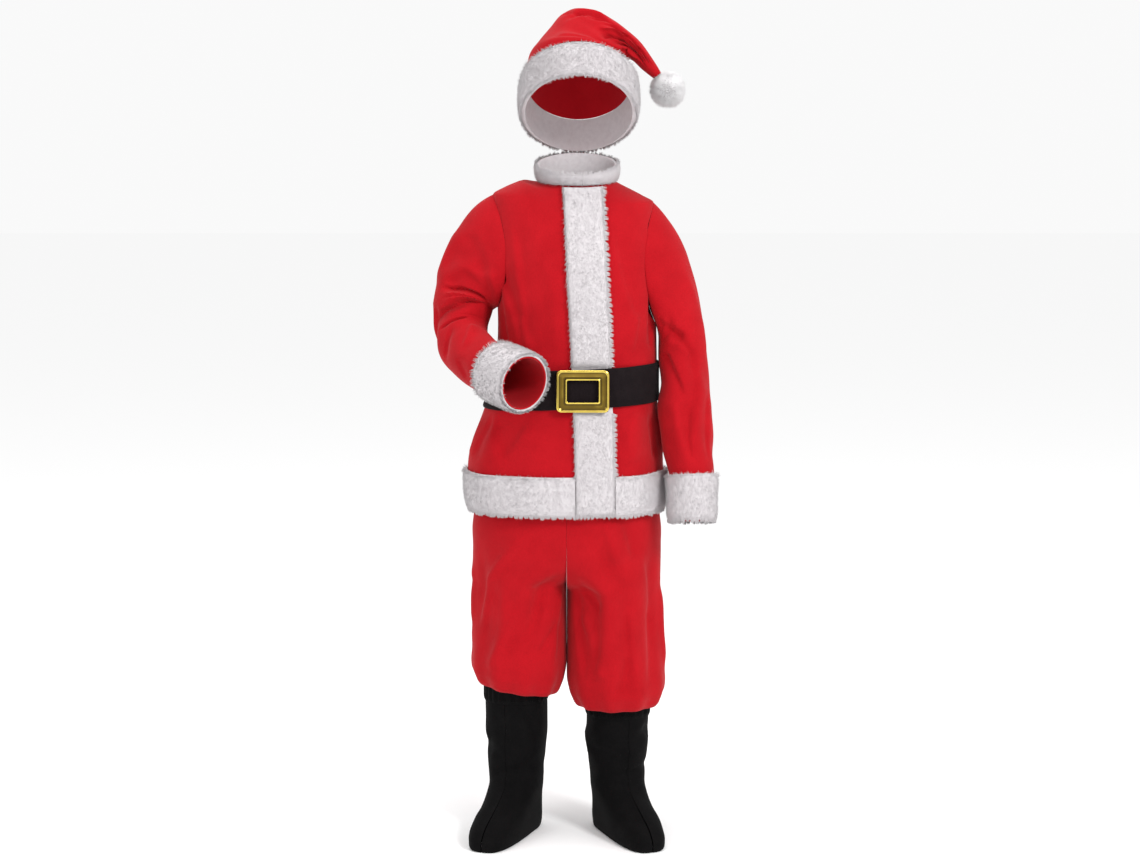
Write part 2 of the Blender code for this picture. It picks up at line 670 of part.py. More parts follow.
def belt(turn, share):
    """The belt's inner face: it lies on the jacket, and over the pressed fur at the front."""
    flat = torso(turn, BELT_MIDDLE + 0 * share)
    height = belt_middle(flat[..., 0]) + (share - 0.5) * BELT_HEIGHT
    base = torso(turn, height)
    normal = outward(torso, turn, height)
    x = by_height(CLOSURE, "x", height)
    near = 1 - eased((np.abs(base[..., 0] - x) - PLACKET_HALF - BELT_RAMP_START) / BELT_RAMP)
    near = near * (base[..., 1] < 0)
    stand = BELT_STAND + (PLACKET_PRESSED - BELT_SINK) * near
    return base + stand[..., None] * normal


def make_belt(black, root):
    turn = np.linspace(-math.pi, math.pi, BELT_COLUMNS + 1)[:-1][None, :]
    share = np.linspace(0, 1, 3)[:, None] + 0 * turn
    turn = turn + 0 * share
    laid_on("belt_strap", belt, turn, share, 0.0, BELT_THICK, black, root, closed=True)


def rectangle_ring(width, height, radius, steps=3):
    """A rounded rectangle round the origin, in x and z."""
    points = []
    corners = ((1, 1, 0), (-1, 1, 90), (-1, -1, 180), (1, -1, 270))
    for sx, sz, first in corners:
        for k in range(steps + 1):
            angle = math.radians(first + 90 * k / steps)
            x = sx * (width / 2 - radius) + radius * math.cos(angle)
            z = sz * (height / 2 - radius) + radius * math.sin(angle)
            points.append((x, z))
    return np.array(points)


def make_buckle(gold, root):
    """A moulded frame with a raised rim, in front of the belt."""
    share = np.linspace(0, 1, 4)[:, None]
    turn = np.linspace(-math.pi, 0, BELT_COLUMNS)[None, :] + 0 * share
    strap = belt(turn, share + 0 * turn) + BELT_THICK * outward(belt, turn, share + 0 * turn)
    behind = np.abs(strap[..., 0] - BUCKLE_X) < BUCKLE_WIDTH / 2
    back_y = float(strap[..., 1][behind].min()) - SEAM
    middle_z = belt_middle(BUCKLE_X) - BUCKLE_DROP
    rings = []
    for edge in BUCKLE_PROFILE:
        width = BUCKLE_WIDTH + edge.inward * (BUCKLE_OPEN_WIDTH - BUCKLE_WIDTH)
        height = BUCKLE_HEIGHT + edge.inward * (BUCKLE_OPEN_HEIGHT - BUCKLE_HEIGHT)
        corner = BUCKLE_OUTER_CORNER + edge.inward * (BUCKLE_INNER_CORNER - BUCKLE_OUTER_CORNER)
        outline = rectangle_ring(width, height, corner)
        y = back_y - edge.forward * BUCKLE_THICK
        rings.append(joined(outline[:, 0] + BUCKLE_X, y, outline[:, 1] + middle_z))
    points = np.concatenate(rings)
    n, m = len(rings[0]), len(rings)
    faces = []
    for k in range(m):
        for j in range(n):
            a, b = k * n + j, k * n + (j + 1) % n
            c, d = (k + 1) % m * n + (j + 1) % n, (k + 1) % m * n + j
            faces.append((a, b, c, d))
    solid("belt_buckle", points, faces, gold, root)


# Sleeves


def armhole(side, phi):
    """A point on the armhole's edge: phi runs from 0 at the armpit over the front to pi at the shoulder."""
    turn = np.where(side > 0, 0.0, math.pi) - side * (ARMHOLE_TURN - ARMHOLE_SLACK) * np.sin(phi)
    middle = float(armpit_height(side) + SHOULDER_HEIGHT) / 2
    return torso(turn, middle + (armhole_height(side, phi) - middle) * ARMHOLE_SHARE)


def tube_frames(rows, side, samples=121):
    """The tube's middle line with directions carried along it without twist."""
    place = np.linspace(0, 1, samples)
    line = joined(*(by_row(rows, name, place, keep_level=False) for name in ("x", "y", "z")))
    along = np.gradient(line, axis=0)
    along /= np.linalg.norm(along, axis=1, keepdims=True)
    top = np.empty_like(line)
    guide = np.array([float(side), 0.0, 0.0])
    for k in range(samples):
        guide = guide - guide.dot(along[k]) * along[k]
        guide /= np.linalg.norm(guide)
        top[k] = guide
    front = side * np.cross(along, top)
    return place, line, along, top, front


class Sleeve:
    """A sleeve's surface: along runs from 0 at the armhole to 1 under its head and 2 at the wrist."""

    def __init__(self, side, rows, creases):
        self.side, self.rows, self.creases = side, rows, creases
        self.place, self.line, self.along, self.top, self.front = tube_frames(rows, side)

    def read(self, track, place):
        return joined(*(np.interp(place, self.place, track[:, k]) for k in range(3)))

    def tube(self, phi, place):
        across = by_row(self.rows, "across", place)[..., None]
        deep = by_row(self.rows, "deep", place)[..., None]
        cos, sin = np.cos(phi)[..., None], np.sin(phi)[..., None]
        return self.read(self.line, place) - across * cos * self.read(self.top, place) + (
            deep * sin * self.read(self.front, place)
        )

    def head(self, phi, t):
        """Curves from the armhole's edge to the tube's first ring."""
        start = armhole(self.side, phi)
        end = self.tube(phi, 0 * t)
        chord = np.linalg.norm(end - start, axis=-1, keepdims=True)
        topness = (1 - np.cos(phi)) / 2
        shoulder = LEAVE_SHOULDER_HANGING if self.side > 0 else LEAVE_SHOULDER_BENT
        aside = LEAVE_ARMPIT.aside + (shoulder.aside - LEAVE_ARMPIT.aside) * topness
        down = LEAVE_ARMPIT.down + (shoulder.down - LEAVE_ARMPIT.down) * topness
        lead = joined(self.side * aside, -LEAVE_FORWARD * np.sin(phi), -down)
        lead = lead / np.linalg.norm(lead, axis=-1, keepdims=True) * chord
        arrive = self.read(self.along, 0 * t) * chord * ARRIVE
        t = t[..., None]
        from_start = (1 + 2 * t) * (1 - t) ** 2 * start + t * (1 - t) ** 2 * lead
        return from_start + t * t * (3 - 2 * t) * end + t * t * (t - 1) * arrive

    def smooth(self, phi, v):
        phi, v = np.broadcast_arrays(phi, v)
        upper = self.head(phi, np.clip(v, 0, 1))
        lower = self.tube(phi, np.clip(v - 1, 0, 1))
        return np.where((v < 1)[..., None], upper, lower)

    def __call__(self, phi, v):
        base = self.smooth(phi, v)
        middle = self.smooth(phi + math.pi, v)
        out = base - (base + middle) / 2
        out = out / np.linalg.norm(out, axis=-1, keepdims=True)
        under = 1 - eased((1 - np.cos(phi)) / CREASE_CALM_TURN)
        fade = eased(v / CREASE_START) * (1 - under * eased((CREASE_CALM_END - v) / CREASE_CALM_FADE))
        return base + out * (crease_sum(self.creases, phi, v) * fade)[..., None]


def wrist_start(sleeve):
    """Where along the sleeve its cuff begins."""
    v = np.linspace(1, 2, 101)
    line = sleeve.read(sleeve.line, v - 1)
    left = np.linalg.norm(np.diff(line, axis=0), axis=1)[::-1].cumsum()[::-1]
    return float(v[:-1][left > CUFF_HEIGHT][-1])


def make_sleeve(name, side, rows, creases, red, fur, root):
    sleeve = Sleeve(side, rows, creases)
    phi = np.linspace(0, 2 * math.pi, 2 * ARMHOLE_STEPS + 1)[:-1][None, :]
    start = wrist_start(sleeve)
    cuff_places = start + FUR_SHARES * (2.0 - start)
    tube_places = np.linspace(1, start, SLEEVE_TUBE_ROWS + 1)
    places = np.concatenate([np.linspace(0, 1, SLEEVE_HEAD_ROWS + 1)[:-1], tube_places, cuff_places[1:]])
    v = places[:, None] + 0 * phi
    cloth(f"sleeve_{name}", sleeve, phi + 0 * v, v, red, root, side=-side, closed=True)
    v = cuff_places[:, None] + 0 * phi
    high = rounded(FUR_SHARES)[:, None] + 0 * phi
    laid_on(f"cuff_fur_{name}", sleeve, phi + 0 * v, v, SEWN, high, fur, root, side=-side, closed=True)


# Trousers


class TrouserLeg:
    """One leg's surface: across runs from -1 to 1 between its seams, place from the waist to the hem."""

    def __init__(self, side):
        self.side = side

    def edge_turn(self, place):
        centre = by_row(TROUSER_LEG, "centre", place)
        half = by_row(TROUSER_LEG, "half_width", place)
        share = (SEAM / 2 - centre) / half
        slit = math.pi - SEAM / 2 / by_row(TROUSER_LEG, "half_depth", place)
        return np.where(share > -1, np.minimum(np.arccos(np.clip(share, -1, 1)), slit), slit)

    def __call__(self, across, place):
        across, place = np.broadcast_arrays(across, place)
        turn = across * self.edge_turn(place)
        height = by_row(TROUSER_LEG, "height", place)
        centre = by_row(TROUSER_LEG, "centre", place)
        half_width = by_row(TROUSER_LEG, "half_width", place)
        half_depth = by_row(TROUSER_LEG, "half_depth", place)
        waves = by_row(TROUSER_LEG, "gather", place) * np.sin(KNEE_WAVES * math.pi * across)
        lift = waves + fold_sum(LEG_FOLDS, turn, height, half_width)
        lift = lift * eased((1 - np.abs(across)) / LEG_SEAM_CALM)
        x = TROUSERS_X + self.side * (centre + (half_width + lift) * np.cos(turn))
        y = TROUSERS_Y + (half_depth + lift) * np.sin(turn)
        low = eased((LEG_DROP_START - height) / LEG_DROP_SPAN)
        x = x + LEFT_LEG_WIDER * low * (self.side > 0) * (x - TROUSERS_X)
        tilt = HEM_TILTS[self.side] * np.cos(turn) * eased((HEM_TILT_START - height) / HEM_TILT_SPAN)
        return joined(x, y, height + tilt - self.side * LEG_DROP * low)


def make_trousers(red, root):
    place = np.linspace(0, 1, LEG_ROWS + 1)[:, None]
    across = np.linspace(-1, 1, LEG_COLUMNS + 1)[None, :]
    for name, side in (("left", 1), ("right", -1)):
        leg = TrouserLeg(side)
        cloth(f"trouser_leg_{name}", leg, across + 0 * place, place + 0 * across, red, root, side=-side)


def waistband(turn, share):
    """The gathered elastic waistband, on top of both legs."""
    first = TROUSER_LEG[0]
    wave = WAIST_WAVE * np.sin(WAIST_WAVES * turn)
    x = TROUSERS_X + (first.half_width + wave) * np.cos(turn)
    y = TROUSERS_Y + (first.half_depth + wave) * np.sin(turn)
    return joined(x, y, first.height + SEAM + share * WAISTBAND_HEIGHT)


def make_waistband(red, root):
    turn = np.linspace(0, 2 * math.pi, 3 * WAIST_WAVES + 1)[:-1][None, :]
    share = np.array([0.0, 1.0])[:, None] + 0 * turn
    turn = turn + 0 * share
    cloth("trouser_waistband", waistband, turn, share, red, root, closed=True, thick=WAISTBAND_THICK)


# Boot covers


class BootCover:
    """A boot cover's surface: the toe is at a turn of -pi/2, place runs from the top to the sole."""

    def __init__(self, stand):
        self.stand = stand

    def __call__(self, turn, place):
        turn, place = np.broadcast_arrays(turn, place)
        height = by_row(BOOT, "height", place)
        cos, sin = np.cos(turn), np.sin(turn)
        reach = np.where(sin < 0, by_row(BOOT, "toe_reach", place), by_row(BOOT, "heel_reach", place))
        low = eased((FOOT_TOP - height) / FOOT_FADE)
        shape = 2 / (BOOT_SQUARENESS + TOE_SQUARER * low * (sin < 0))
        lift = crease_sum(BOOT_CREASES, turn, height) * eased(height / BOOT_CREASE_START)
        forward = np.clip(-sin, 0, 1) * low
        x = (by_row(BOOT, "half_width", place) * (1 + TOE_WIDER * forward) + lift) * power(cos, shape)
        y = (reach + lift) * power(sin, shape)
        out = self.stand.side * self.stand.turned_out
        height = height + self.stand.top * eased((height - SHAFT_START) / SHAFT_SPAN)
        return joined(
            self.stand.x + x * math.cos(out) - y * math.sin(out),
            self.stand.y + x * math.sin(out) + y * math.cos(out),
            height,
        )


def make_boot(stand, black, root):
    boot = BootCover(stand)
    name = "left" if stand.side > 0 else "right"
    place = np.linspace(0, 1, BOOT_ROWS + 1)[:, None]
    gap = SEAM / 2 / BOOT[0].half_width
    halves = {1: (-math.pi / 2 + gap, math.pi / 2 - gap), -1: (math.pi / 2 + gap, 3 * math.pi / 2 - gap)}
    for half, (start, end) in halves.items():
        part = "outer" if half == stand.side else "inner"
        turn = np.linspace(start, end, BOOT_COLUMNS + 1)[None, :] + 0 * place
        cloth(f"boot_{name}_{part}", boot, turn, place + 0 * turn, black, root, side=-1, thick=BOOT_CLOTH)
    turn = np.linspace(-math.pi / 2, 1.5 * math.pi, 2 * BOOT_COLUMNS + 1)[:-1][None, :]
    top = BOOT[0].height
    last = float(np.interp(CASING_HEIGHT, top - column(BOOT[:3], "height"), np.arange(3))) / (len(BOOT) - 1)
    share = CASING_SHARES[:, None]
    high = SEWN + np.where((share > 0) & (share < 1), CASING_THICK, CASING_EDGE)
    laid_on(
        f"boot_{name}_casing", boot, turn + 0 * share, share * last + 0 * turn, SEWN, high + 0 * turn,
        black, root, side=-1, closed=True,
    )


def make_boot_strap(stand, black, root):
    """A flat elastic under the arch, on the turned-in edge of the sole on both sides."""
    boot = BootCover(stand)
    name = "left" if stand.side > 0 else "right"
    rows = []
    for turn in STRAP_TURNS:
        pair = np.array([turn, math.pi - turn])
        near, far = boot(pair, 1.0 - STRAP_INSET), boot(pair, 1.0)
        ends = far + STRAP_INSET * (near - far)
        rows.append([ends[0] + (ends[1] - ends[0]) * k / STRAP_SPANS for k in range(STRAP_SPANS + 1)])
    lower = np.array(rows)
    lower[..., 2] = BOOT_CLOTH + SEAM
    upper = lower.copy()
    upper[..., 2] += STRAP_THICK
    wall(f"boot_{name}_strap", upper, lower, black, root)


# Hat


def brim_bottom(turn):
    return BRIM_SIDE_BOTTOM - BRIM_FRONT_LIFT * np.sin(turn)


def brim(turn, share):
    """The face that the brim's fur stands on, a slightly conical ring, high over the forehead."""
    lean = BRIM_LEAN * (1 - share)
    x = BRIM_X + (BRIM_HALF_WIDTH + lean) * np.cos(turn)
    y = HAT_Y + (BRIM_HALF_DEPTH + lean) * np.sin(turn)
    return joined(x, y, brim_bottom(turn) + share * BRIM_HEIGHT)


def make_brim(fur, root):
    share = BRIM_SHARES[:, None]
    turn = np.linspace(0, 2 * math.pi, 2 * CROWN_COLUMNS + 1)[:-1][None, :] + 0 * share
    share = share + 0 * turn
    high = rounded(share, BRIM_EDGE, BRIM_REACH, BRIM_ROUNDING)
    laid_on("hat_brim", brim, turn, share, -BRIM_INSIDE, high, fur, root, closed=True)


def crown(turn, place):
    """The crown's surface: turn is 0 under the fallen side and pi on top, place from the brim to the tip."""
    turn, place = np.broadcast_arrays(turn, place)
    top = joined(by_row(CROWN, "top_x", place), 0 * place, by_row(CROWN, "top_z", place))
    under = joined(by_row(CROWN, "under_x", place), 0 * place, by_row(CROWN, "under_z", place))
    middle, half = (top + under) / 2, (under - top) / 2
    cos, sin = np.cos(turn)[..., None], np.sin(turn)
    depth = by_row(CROWN, "depth", place)
    folds = crease_sum(CROWN_FOLDS, turn, place)
    y = HAT_Y + (depth + folds) * sin
    tilt = -by_row(CROWN, "tilt", place) * sin
    return middle + half * cos * (1 + folds / CROWN_FOLD_REACH)[..., None] + joined(0 * y, y, tilt)


def make_crown(red, root):
    place = np.linspace(0, 1, CROWN_ROWS + 1)[:, None]
    gap = SEAM / 2 / CROWN_SEAM_RADIUS
    for name, start in (("back", 0.0), ("front", -math.pi)):
        turn = np.linspace(start + gap, start + math.pi - gap, CROWN_COLUMNS + 1)[None, :] + 0 * place
        item_place = place + 0 * turn
        cloth(f"hat_crown_{name}", crown_above_brim, turn, item_place, red, root)


def crown_above_brim(turn, place):
    """The crown, lifted a seam's gap off the brim."""
    thick = CLOTH * np.clip(outward(crown, turn, 0 * turn)[..., 2], 0, 1)
    lift = 2 * SEAM + (brim_top_error(turn) + thick) * (1 - eased(place / CROWN_LIFT_SPAN))
    return crown(turn, place) + joined(0 * lift, 0 * lift, lift)


def brim_top_error(turn):
    """What the crown's first ring lacks to the brim's top edge."""
    wanted = brim_bottom(turn) + BRIM_HEIGHT
    return wanted - crown(turn, 0 * turn)[..., 2]


def make_pompom(fur, root):
    shape = bmesh.new()
    bmesh.ops.create_icosphere(shape, subdivisions=3, radius=POMPOM_RADIUS)
    for k, v in enumerate(shape.verts):
        v.co *= 1 - POMPOM_TUFT * (k % POMPOM_TUFTS)
    mesh = bpy.data.meshes.new("hat_pompom")
    shape.to_mesh(mesh)
    shape.free()
    mesh.shade_smooth()
    mesh.materials.append(fur)
    item = bpy.data.objects.new("hat_pompom", mesh)
    bpy.context.scene.collection.objects.link(item)
    item.location = POMPOM_CENTRE
    item.parent = root


def main():
    for old in list(bpy.data.objects):
        bpy.data.objects.remove(old, do_unlink=True)
    root = bpy.data.objects.new("santa_suit", None)
    root.location = (-NECK_CENTRE_X, 0.0, -NECK_HEIGHT)
    bpy.context.scene.collection.objects.link(root)

    red = material("red_fleece", RED, 0.9)
    fur = material("white_fur", WHITE, 0.95)
    black = material("black_belt_cloth", BLACK_CLOTH, 0.85)
    boot_black = material("black_boot_cloth", BLACK_BOOT, 0.7)
    gold = material("gold_plastic", GOLD, 0.2, 0.9)

    make_torso(red, root)
    make_placket(fur, root)
    make_hem_band(fur, root)
    make_collar(fur, root)
    make_belt(black, root)
    make_buckle(gold, root)
    make_sleeve("left", 1, SLEEVE_HANGING, CREASES_HANGING, red, fur, root)
    make_sleeve("right", -1, SLEEVE_BENT, CREASES_BENT, red, fur, root)
    make_trousers(red, root)
    make_waistband(red, root)
    for stand in BOOTS:
        make_boot(stand, boot_black, root)
        make_boot_strap(stand, boot_black, root)
    make_brim(fur, root)
    make_crown(red, root)
    make_pompom(fur, root)
    bpy.context.view_layer.update()


main()
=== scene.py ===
"""The look of a child's Santa suit: brushed red fleece, white plush, black cloth and a gold-coloured buckle.

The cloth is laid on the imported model's own shapes, worked out from the same tables on finer grids, with more
folds. Metres, +Z up, front at -Y. Heights in the tables are above the soles; ORIGIN moves them to the frame.
"""

import math
from collections import namedtuple

import bmesh
import bpy
import numpy as np
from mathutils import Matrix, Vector


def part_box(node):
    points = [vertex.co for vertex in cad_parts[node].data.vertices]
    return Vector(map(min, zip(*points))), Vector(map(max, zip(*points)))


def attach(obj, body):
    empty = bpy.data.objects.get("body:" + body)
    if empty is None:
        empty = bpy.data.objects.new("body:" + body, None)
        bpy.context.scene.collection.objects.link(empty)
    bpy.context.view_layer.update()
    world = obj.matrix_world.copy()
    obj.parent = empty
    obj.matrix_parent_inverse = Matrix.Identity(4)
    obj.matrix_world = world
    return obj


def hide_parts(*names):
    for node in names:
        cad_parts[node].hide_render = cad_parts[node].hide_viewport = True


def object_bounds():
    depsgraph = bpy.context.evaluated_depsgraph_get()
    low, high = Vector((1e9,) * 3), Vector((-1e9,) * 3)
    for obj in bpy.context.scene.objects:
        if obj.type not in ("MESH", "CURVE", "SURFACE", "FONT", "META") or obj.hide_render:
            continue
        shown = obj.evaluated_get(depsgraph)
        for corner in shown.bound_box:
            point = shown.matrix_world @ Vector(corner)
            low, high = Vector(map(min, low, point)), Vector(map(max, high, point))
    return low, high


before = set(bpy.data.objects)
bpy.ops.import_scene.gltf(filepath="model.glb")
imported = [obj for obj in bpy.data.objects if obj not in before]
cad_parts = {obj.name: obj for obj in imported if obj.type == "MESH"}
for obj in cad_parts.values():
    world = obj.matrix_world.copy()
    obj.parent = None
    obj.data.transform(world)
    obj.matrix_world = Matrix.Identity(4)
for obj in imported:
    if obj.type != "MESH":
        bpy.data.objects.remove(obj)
cad_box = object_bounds()

# Driving dimensions
NECK_HEIGHT = 0.985
NECK_CENTRE_X = 0.0105
CLOTH = 0.002
SEAM = 0.0003
CLEAR = 0.0011
SEWN = 0.0004
FUR_REACH = 0.009
FUR_EDGE = 0.0045
HEM_BOTTOM = 0.498
HEM_TOP = 0.556
ARMPIT_LEFT = 0.770
ARMPIT_RIGHT = 0.798
SHOULDER_HEIGHT = 0.953
ARMHOLE_TURN = 0.62
ARMHOLE_SLACK = 0.004
ARMHOLE_SHARE = 0.994
PLACKET_HALF = 0.0285
PLACKET_TOP = 0.9805
PLACKET_PRESSED = 0.0030
NECK_DIP = 0.007
NECK_DIP_START = 0.93
NECK_DIP_SPAN = 0.05
SHOULDER_RAISE = 0.012
RAISE_START = 0.030
RAISE_SPAN = 0.045
RAISE_LOW = 0.88
RAISE_LOW_SPAN = 0.07
RAISE_HIGH = 0.972
RAISE_HIGH_SPAN = 0.012
BELT_STAND = 0.0014
BELT_HEIGHT = 0.058
BELT_MIDDLE = 0.683
BELT_TILT = 0.045
BELT_THICK = 0.0022
BELT_RAMP_START = 0.012
BELT_RAMP = 0.03
BELT_SINK = 0.0004
BUCKLE_WIDTH = 0.077
BUCKLE_HEIGHT = 0.062
BUCKLE_OPEN_WIDTH = 0.045
BUCKLE_OPEN_HEIGHT = 0.031
BUCKLE_THICK = 0.006
BUCKLE_X = 0.0185
BUCKLE_DROP = 0.002
BUCKLE_OUTER_CORNER = 0.0075
BUCKLE_INNER_CORNER = 0.0020
CUFF_HEIGHT = 0.066
COLLAR_RISE = 0.0245
COLLAR_BACK_RISE = 0.0095
COLLAR_LEAN = 0.004
COLLAR_GAP = 0.0035
COLLAR_EDGE_IN = 0.0015
COLLAR_BULGE_IN = 0.0025
COLLAR_EDGE_OUT = 0.0024
COLLAR_BULGE_OUT = 0.0036
BRIM_HEIGHT = 0.047
POMPOM_RADIUS = 0.0255
POMPOM_CENTRE = (0.1445, 0.004, 1.1185)
TROUSERS_X = -0.005
TROUSERS_Y = 0.002
KNEE_WAVES = 10
LEG_DROP = 0.0135
LEG_DROP_START = 0.46
LEG_DROP_SPAN = 0.2
LEFT_LEG_WIDER = 0.030
HEM_TILTS = {1: 0.001, -1: 0.009}
HEM_TILT_START = 0.30
HEM_TILT_SPAN = 0.09
LEG_SEAM_CALM = 0.12
WAIST_WAVES = 16
WAIST_WAVE = 0.0018
WAISTBAND_HEIGHT = 0.026
WAISTBAND_THICK = 0.0028
BOOT_CLOTH = 0.0016
CASING_HEIGHT = 0.028
CASING_EDGE = 0.0008
CASING_THICK = 0.0018
STRAP_TURNS = (-0.62, -0.28)
STRAP_INSET = 0.07
STRAP_THICK = 0.0012

# The jacket's body by height: half sizes of each level section, its centre and how square it is
Section = namedtuple("Section", "height half_width half_depth centre_x centre_y squareness")
TORSO = (
    Section(0.498, 0.1430, 0.1110, -0.0060, 0.003, 2.25),
    Section(0.530, 0.1460, 0.1130, -0.0065, 0.003, 2.25),
    Section(0.560, 0.1465, 0.1120, -0.0068, 0.003, 2.25),
    Section(0.600, 0.1410, 0.1080, -0.0045, 0.002, 2.25),
    Section(0.640, 0.1315, 0.1030, 0.0010, 0.001, 2.25),
    Section(0.680, 0.1235, 0.0985, 0.0060, 0.000, 2.3),
    Section(0.720, 0.1200, 0.0985, 0.0095, 0.000, 2.35),
    Section(0.760, 0.1180, 0.0995, 0.0110, 0.000, 2.4),
    Section(0.800, 0.1180, 0.0995, 0.0105, 0.000, 2.4),
    Section(0.860, 0.1190, 0.0955, 0.0085, 0.001, 2.4),
    Section(0.900, 0.1200, 0.0880, 0.0070, 0.003, 2.35),
    Section(0.930, 0.1205, 0.0785, 0.0060, 0.004, 2.3),
    Section(0.953, 0.1190, 0.0690, 0.0050, 0.004, 2.2),
    Section(0.963, 0.1030, 0.0640, 0.0050, 0.003, 2.1),
    Section(0.972, 0.0830, 0.0590, 0.0070, 0.002, 2.0),
    Section(0.979, 0.0665, 0.0555, 0.0090, 0.001, 2.0),
    Section(0.985, 0.0535, 0.0520, 0.0105, 0.000, 2.0),
)

# The middle of the front closure at each height
Middle = namedtuple("Middle", "height x")
CLOSURE = (
    Middle(0.498, 0.0360),
    Middle(0.570, 0.0355),
    Middle(0.680, 0.0320),
    Middle(0.760, 0.0290),
    Middle(0.860, 0.0235),
    Middle(0.940, 0.0200),
    Middle(0.985, 0.0175),
)

# Soft folds in the jacket's body: turn is where, seen from above, and lean is how it slants with height
Fold = namedtuple("Fold", "turn low high width depth lean")
TORSO_FOLDS = (
    Fold(-2.45, 0.50, 0.74, 0.028, 0.0040, 0.5),
    Fold(-2.05, 0.48, 0.68, 0.026, -0.0030, -0.3),
    Fold(-0.85, 0.48, 0.68, 0.028, 0.0035, 0.3),
    Fold(-0.40, 0.50, 0.70, 0.026, -0.0030, 0.2),
    Fold(-2.20, 0.70, 0.90, 0.030, 0.0035, -1.2),
    Fold(-0.90, 0.70, 0.88, 0.030, 0.0030, 1.4),
    Fold(0.70, 0.48, 0.70, 0.030, 0.0045, 0.3),
    Fold(1.30, 0.49, 0.69, 0.028, -0.0035, 0.0),
    Fold(1.95, 0.48, 0.70, 0.030, 0.0045, -0.3),
    Fold(2.55, 0.50, 0.72, 0.028, -0.0035, 0.3),
    Fold(1.20, 0.70, 0.90, 0.032, 0.0040, 0.9),
    Fold(2.05, 0.70, 0.90, 0.032, 0.0035, -0.9),
)

# How a sleeve leaves the armhole, at the armpit and at the shoulder: sideways and down, with a push forward
Leave = namedtuple("Leave", "aside down")
LEAVE_ARMPIT = Leave(0.42, 0.90)
LEAVE_SHOULDER_HANGING = Leave(0.68, 0.62)
LEAVE_SHOULDER_BENT = Leave(0.95, 0.42)
LEAVE_FORWARD = 0.10
ARRIVE = 0.9

# A sleeve below its head: the tube's middle, its half size across and its half size from front to back
Ring = namedtuple("Ring", "x y z across deep")
SLEEVE_HANGING = (
    Ring(0.1674, -0.024, 0.725, 0.0364, 0.0450),
    Ring(0.1706, -0.033, 0.690, 0.0361, 0.0430),
    Ring(0.1698, -0.038, 0.650, 0.0400, 0.0420),
    Ring(0.1737, -0.044, 0.605, 0.0390, 0.0400),
    Ring(0.1795, -0.050, 0.560, 0.0340, 0.0370),
    Ring(0.1800, -0.058, 0.522, 0.0303, 0.0345),
    Ring(0.1800, -0.065, 0.486, 0.0298, 0.0335),
)
SLEEVE_BENT = (
    Ring(-0.1597, -0.002, 0.7975, 0.0450, 0.0440),
    Ring(-0.1625, -0.009, 0.774, 0.0410, 0.0420),
    Ring(-0.1615, -0.021, 0.756, 0.0400, 0.0410),
    Ring(-0.1560, -0.038, 0.743, 0.0392, 0.0405),
    Ring(-0.1450, -0.058, 0.733, 0.0388, 0.0400),
    Ring(-0.1304, -0.082, 0.722, 0.0385, 0.0390),
    Ring(-0.1098, -0.109, 0.713, 0.0380, 0.0385),
    Ring(-0.0875, -0.137, 0.706, 0.0380, 0.0385),
    Ring(-0.0646, -0.165, 0.699, 0.0385, 0.0390),
)

# Creases round a sleeve: along is where, 0 at the armhole and 2 at the wrist, turn is which side
Crease = namedtuple("Crease", "along turn length width depth slant")
CREASES_HANGING = (
    Crease(0.55, 2.2, 0.9, 0.10, -0.0035, 0.25),
    Crease(0.85, 1.2, 0.9, 0.08, -0.0035, -0.20),
    Crease(1.12, 2.4, 1.0, 0.08, -0.0035, 0.15),
    Crease(1.34, 1.4, 1.1, 0.07, -0.0035, -0.10),
    Crease(1.55, 2.8, 1.2, 0.07, -0.0030, 0.12),
    Crease(0.70, -2.0, 1.0, 0.10, -0.0035, 0.20),
    Crease(1.25, -1.8, 1.1, 0.08, -0.0035, -0.12),
)
CREASES_BENT = (
    Crease(0.50, 2.2, 0.9, 0.10, -0.0035, 0.30),
    Crease(0.80, 2.0, 0.9, 0.09, -0.0030, -0.20),
    Crease(1.16, 2.3, 0.9, 0.07, -0.0030, 0.05),
    Crease(1.40, 2.6, 1.0, 0.07, -0.0035, 0.10),
    Crease(1.56, 1.6, 1.0, 0.06, -0.0030, 0.10),
    Crease(1.25, -2.9, 0.8, 0.07, -0.0035, 0.00),
)

# Where a sleeve's creases start, and how far under the armpit they are left out
CREASE_START = 0.25
CREASE_CALM_TURN = 1.2
CREASE_CALM_END = 1.2
CREASE_CALM_FADE = 0.2

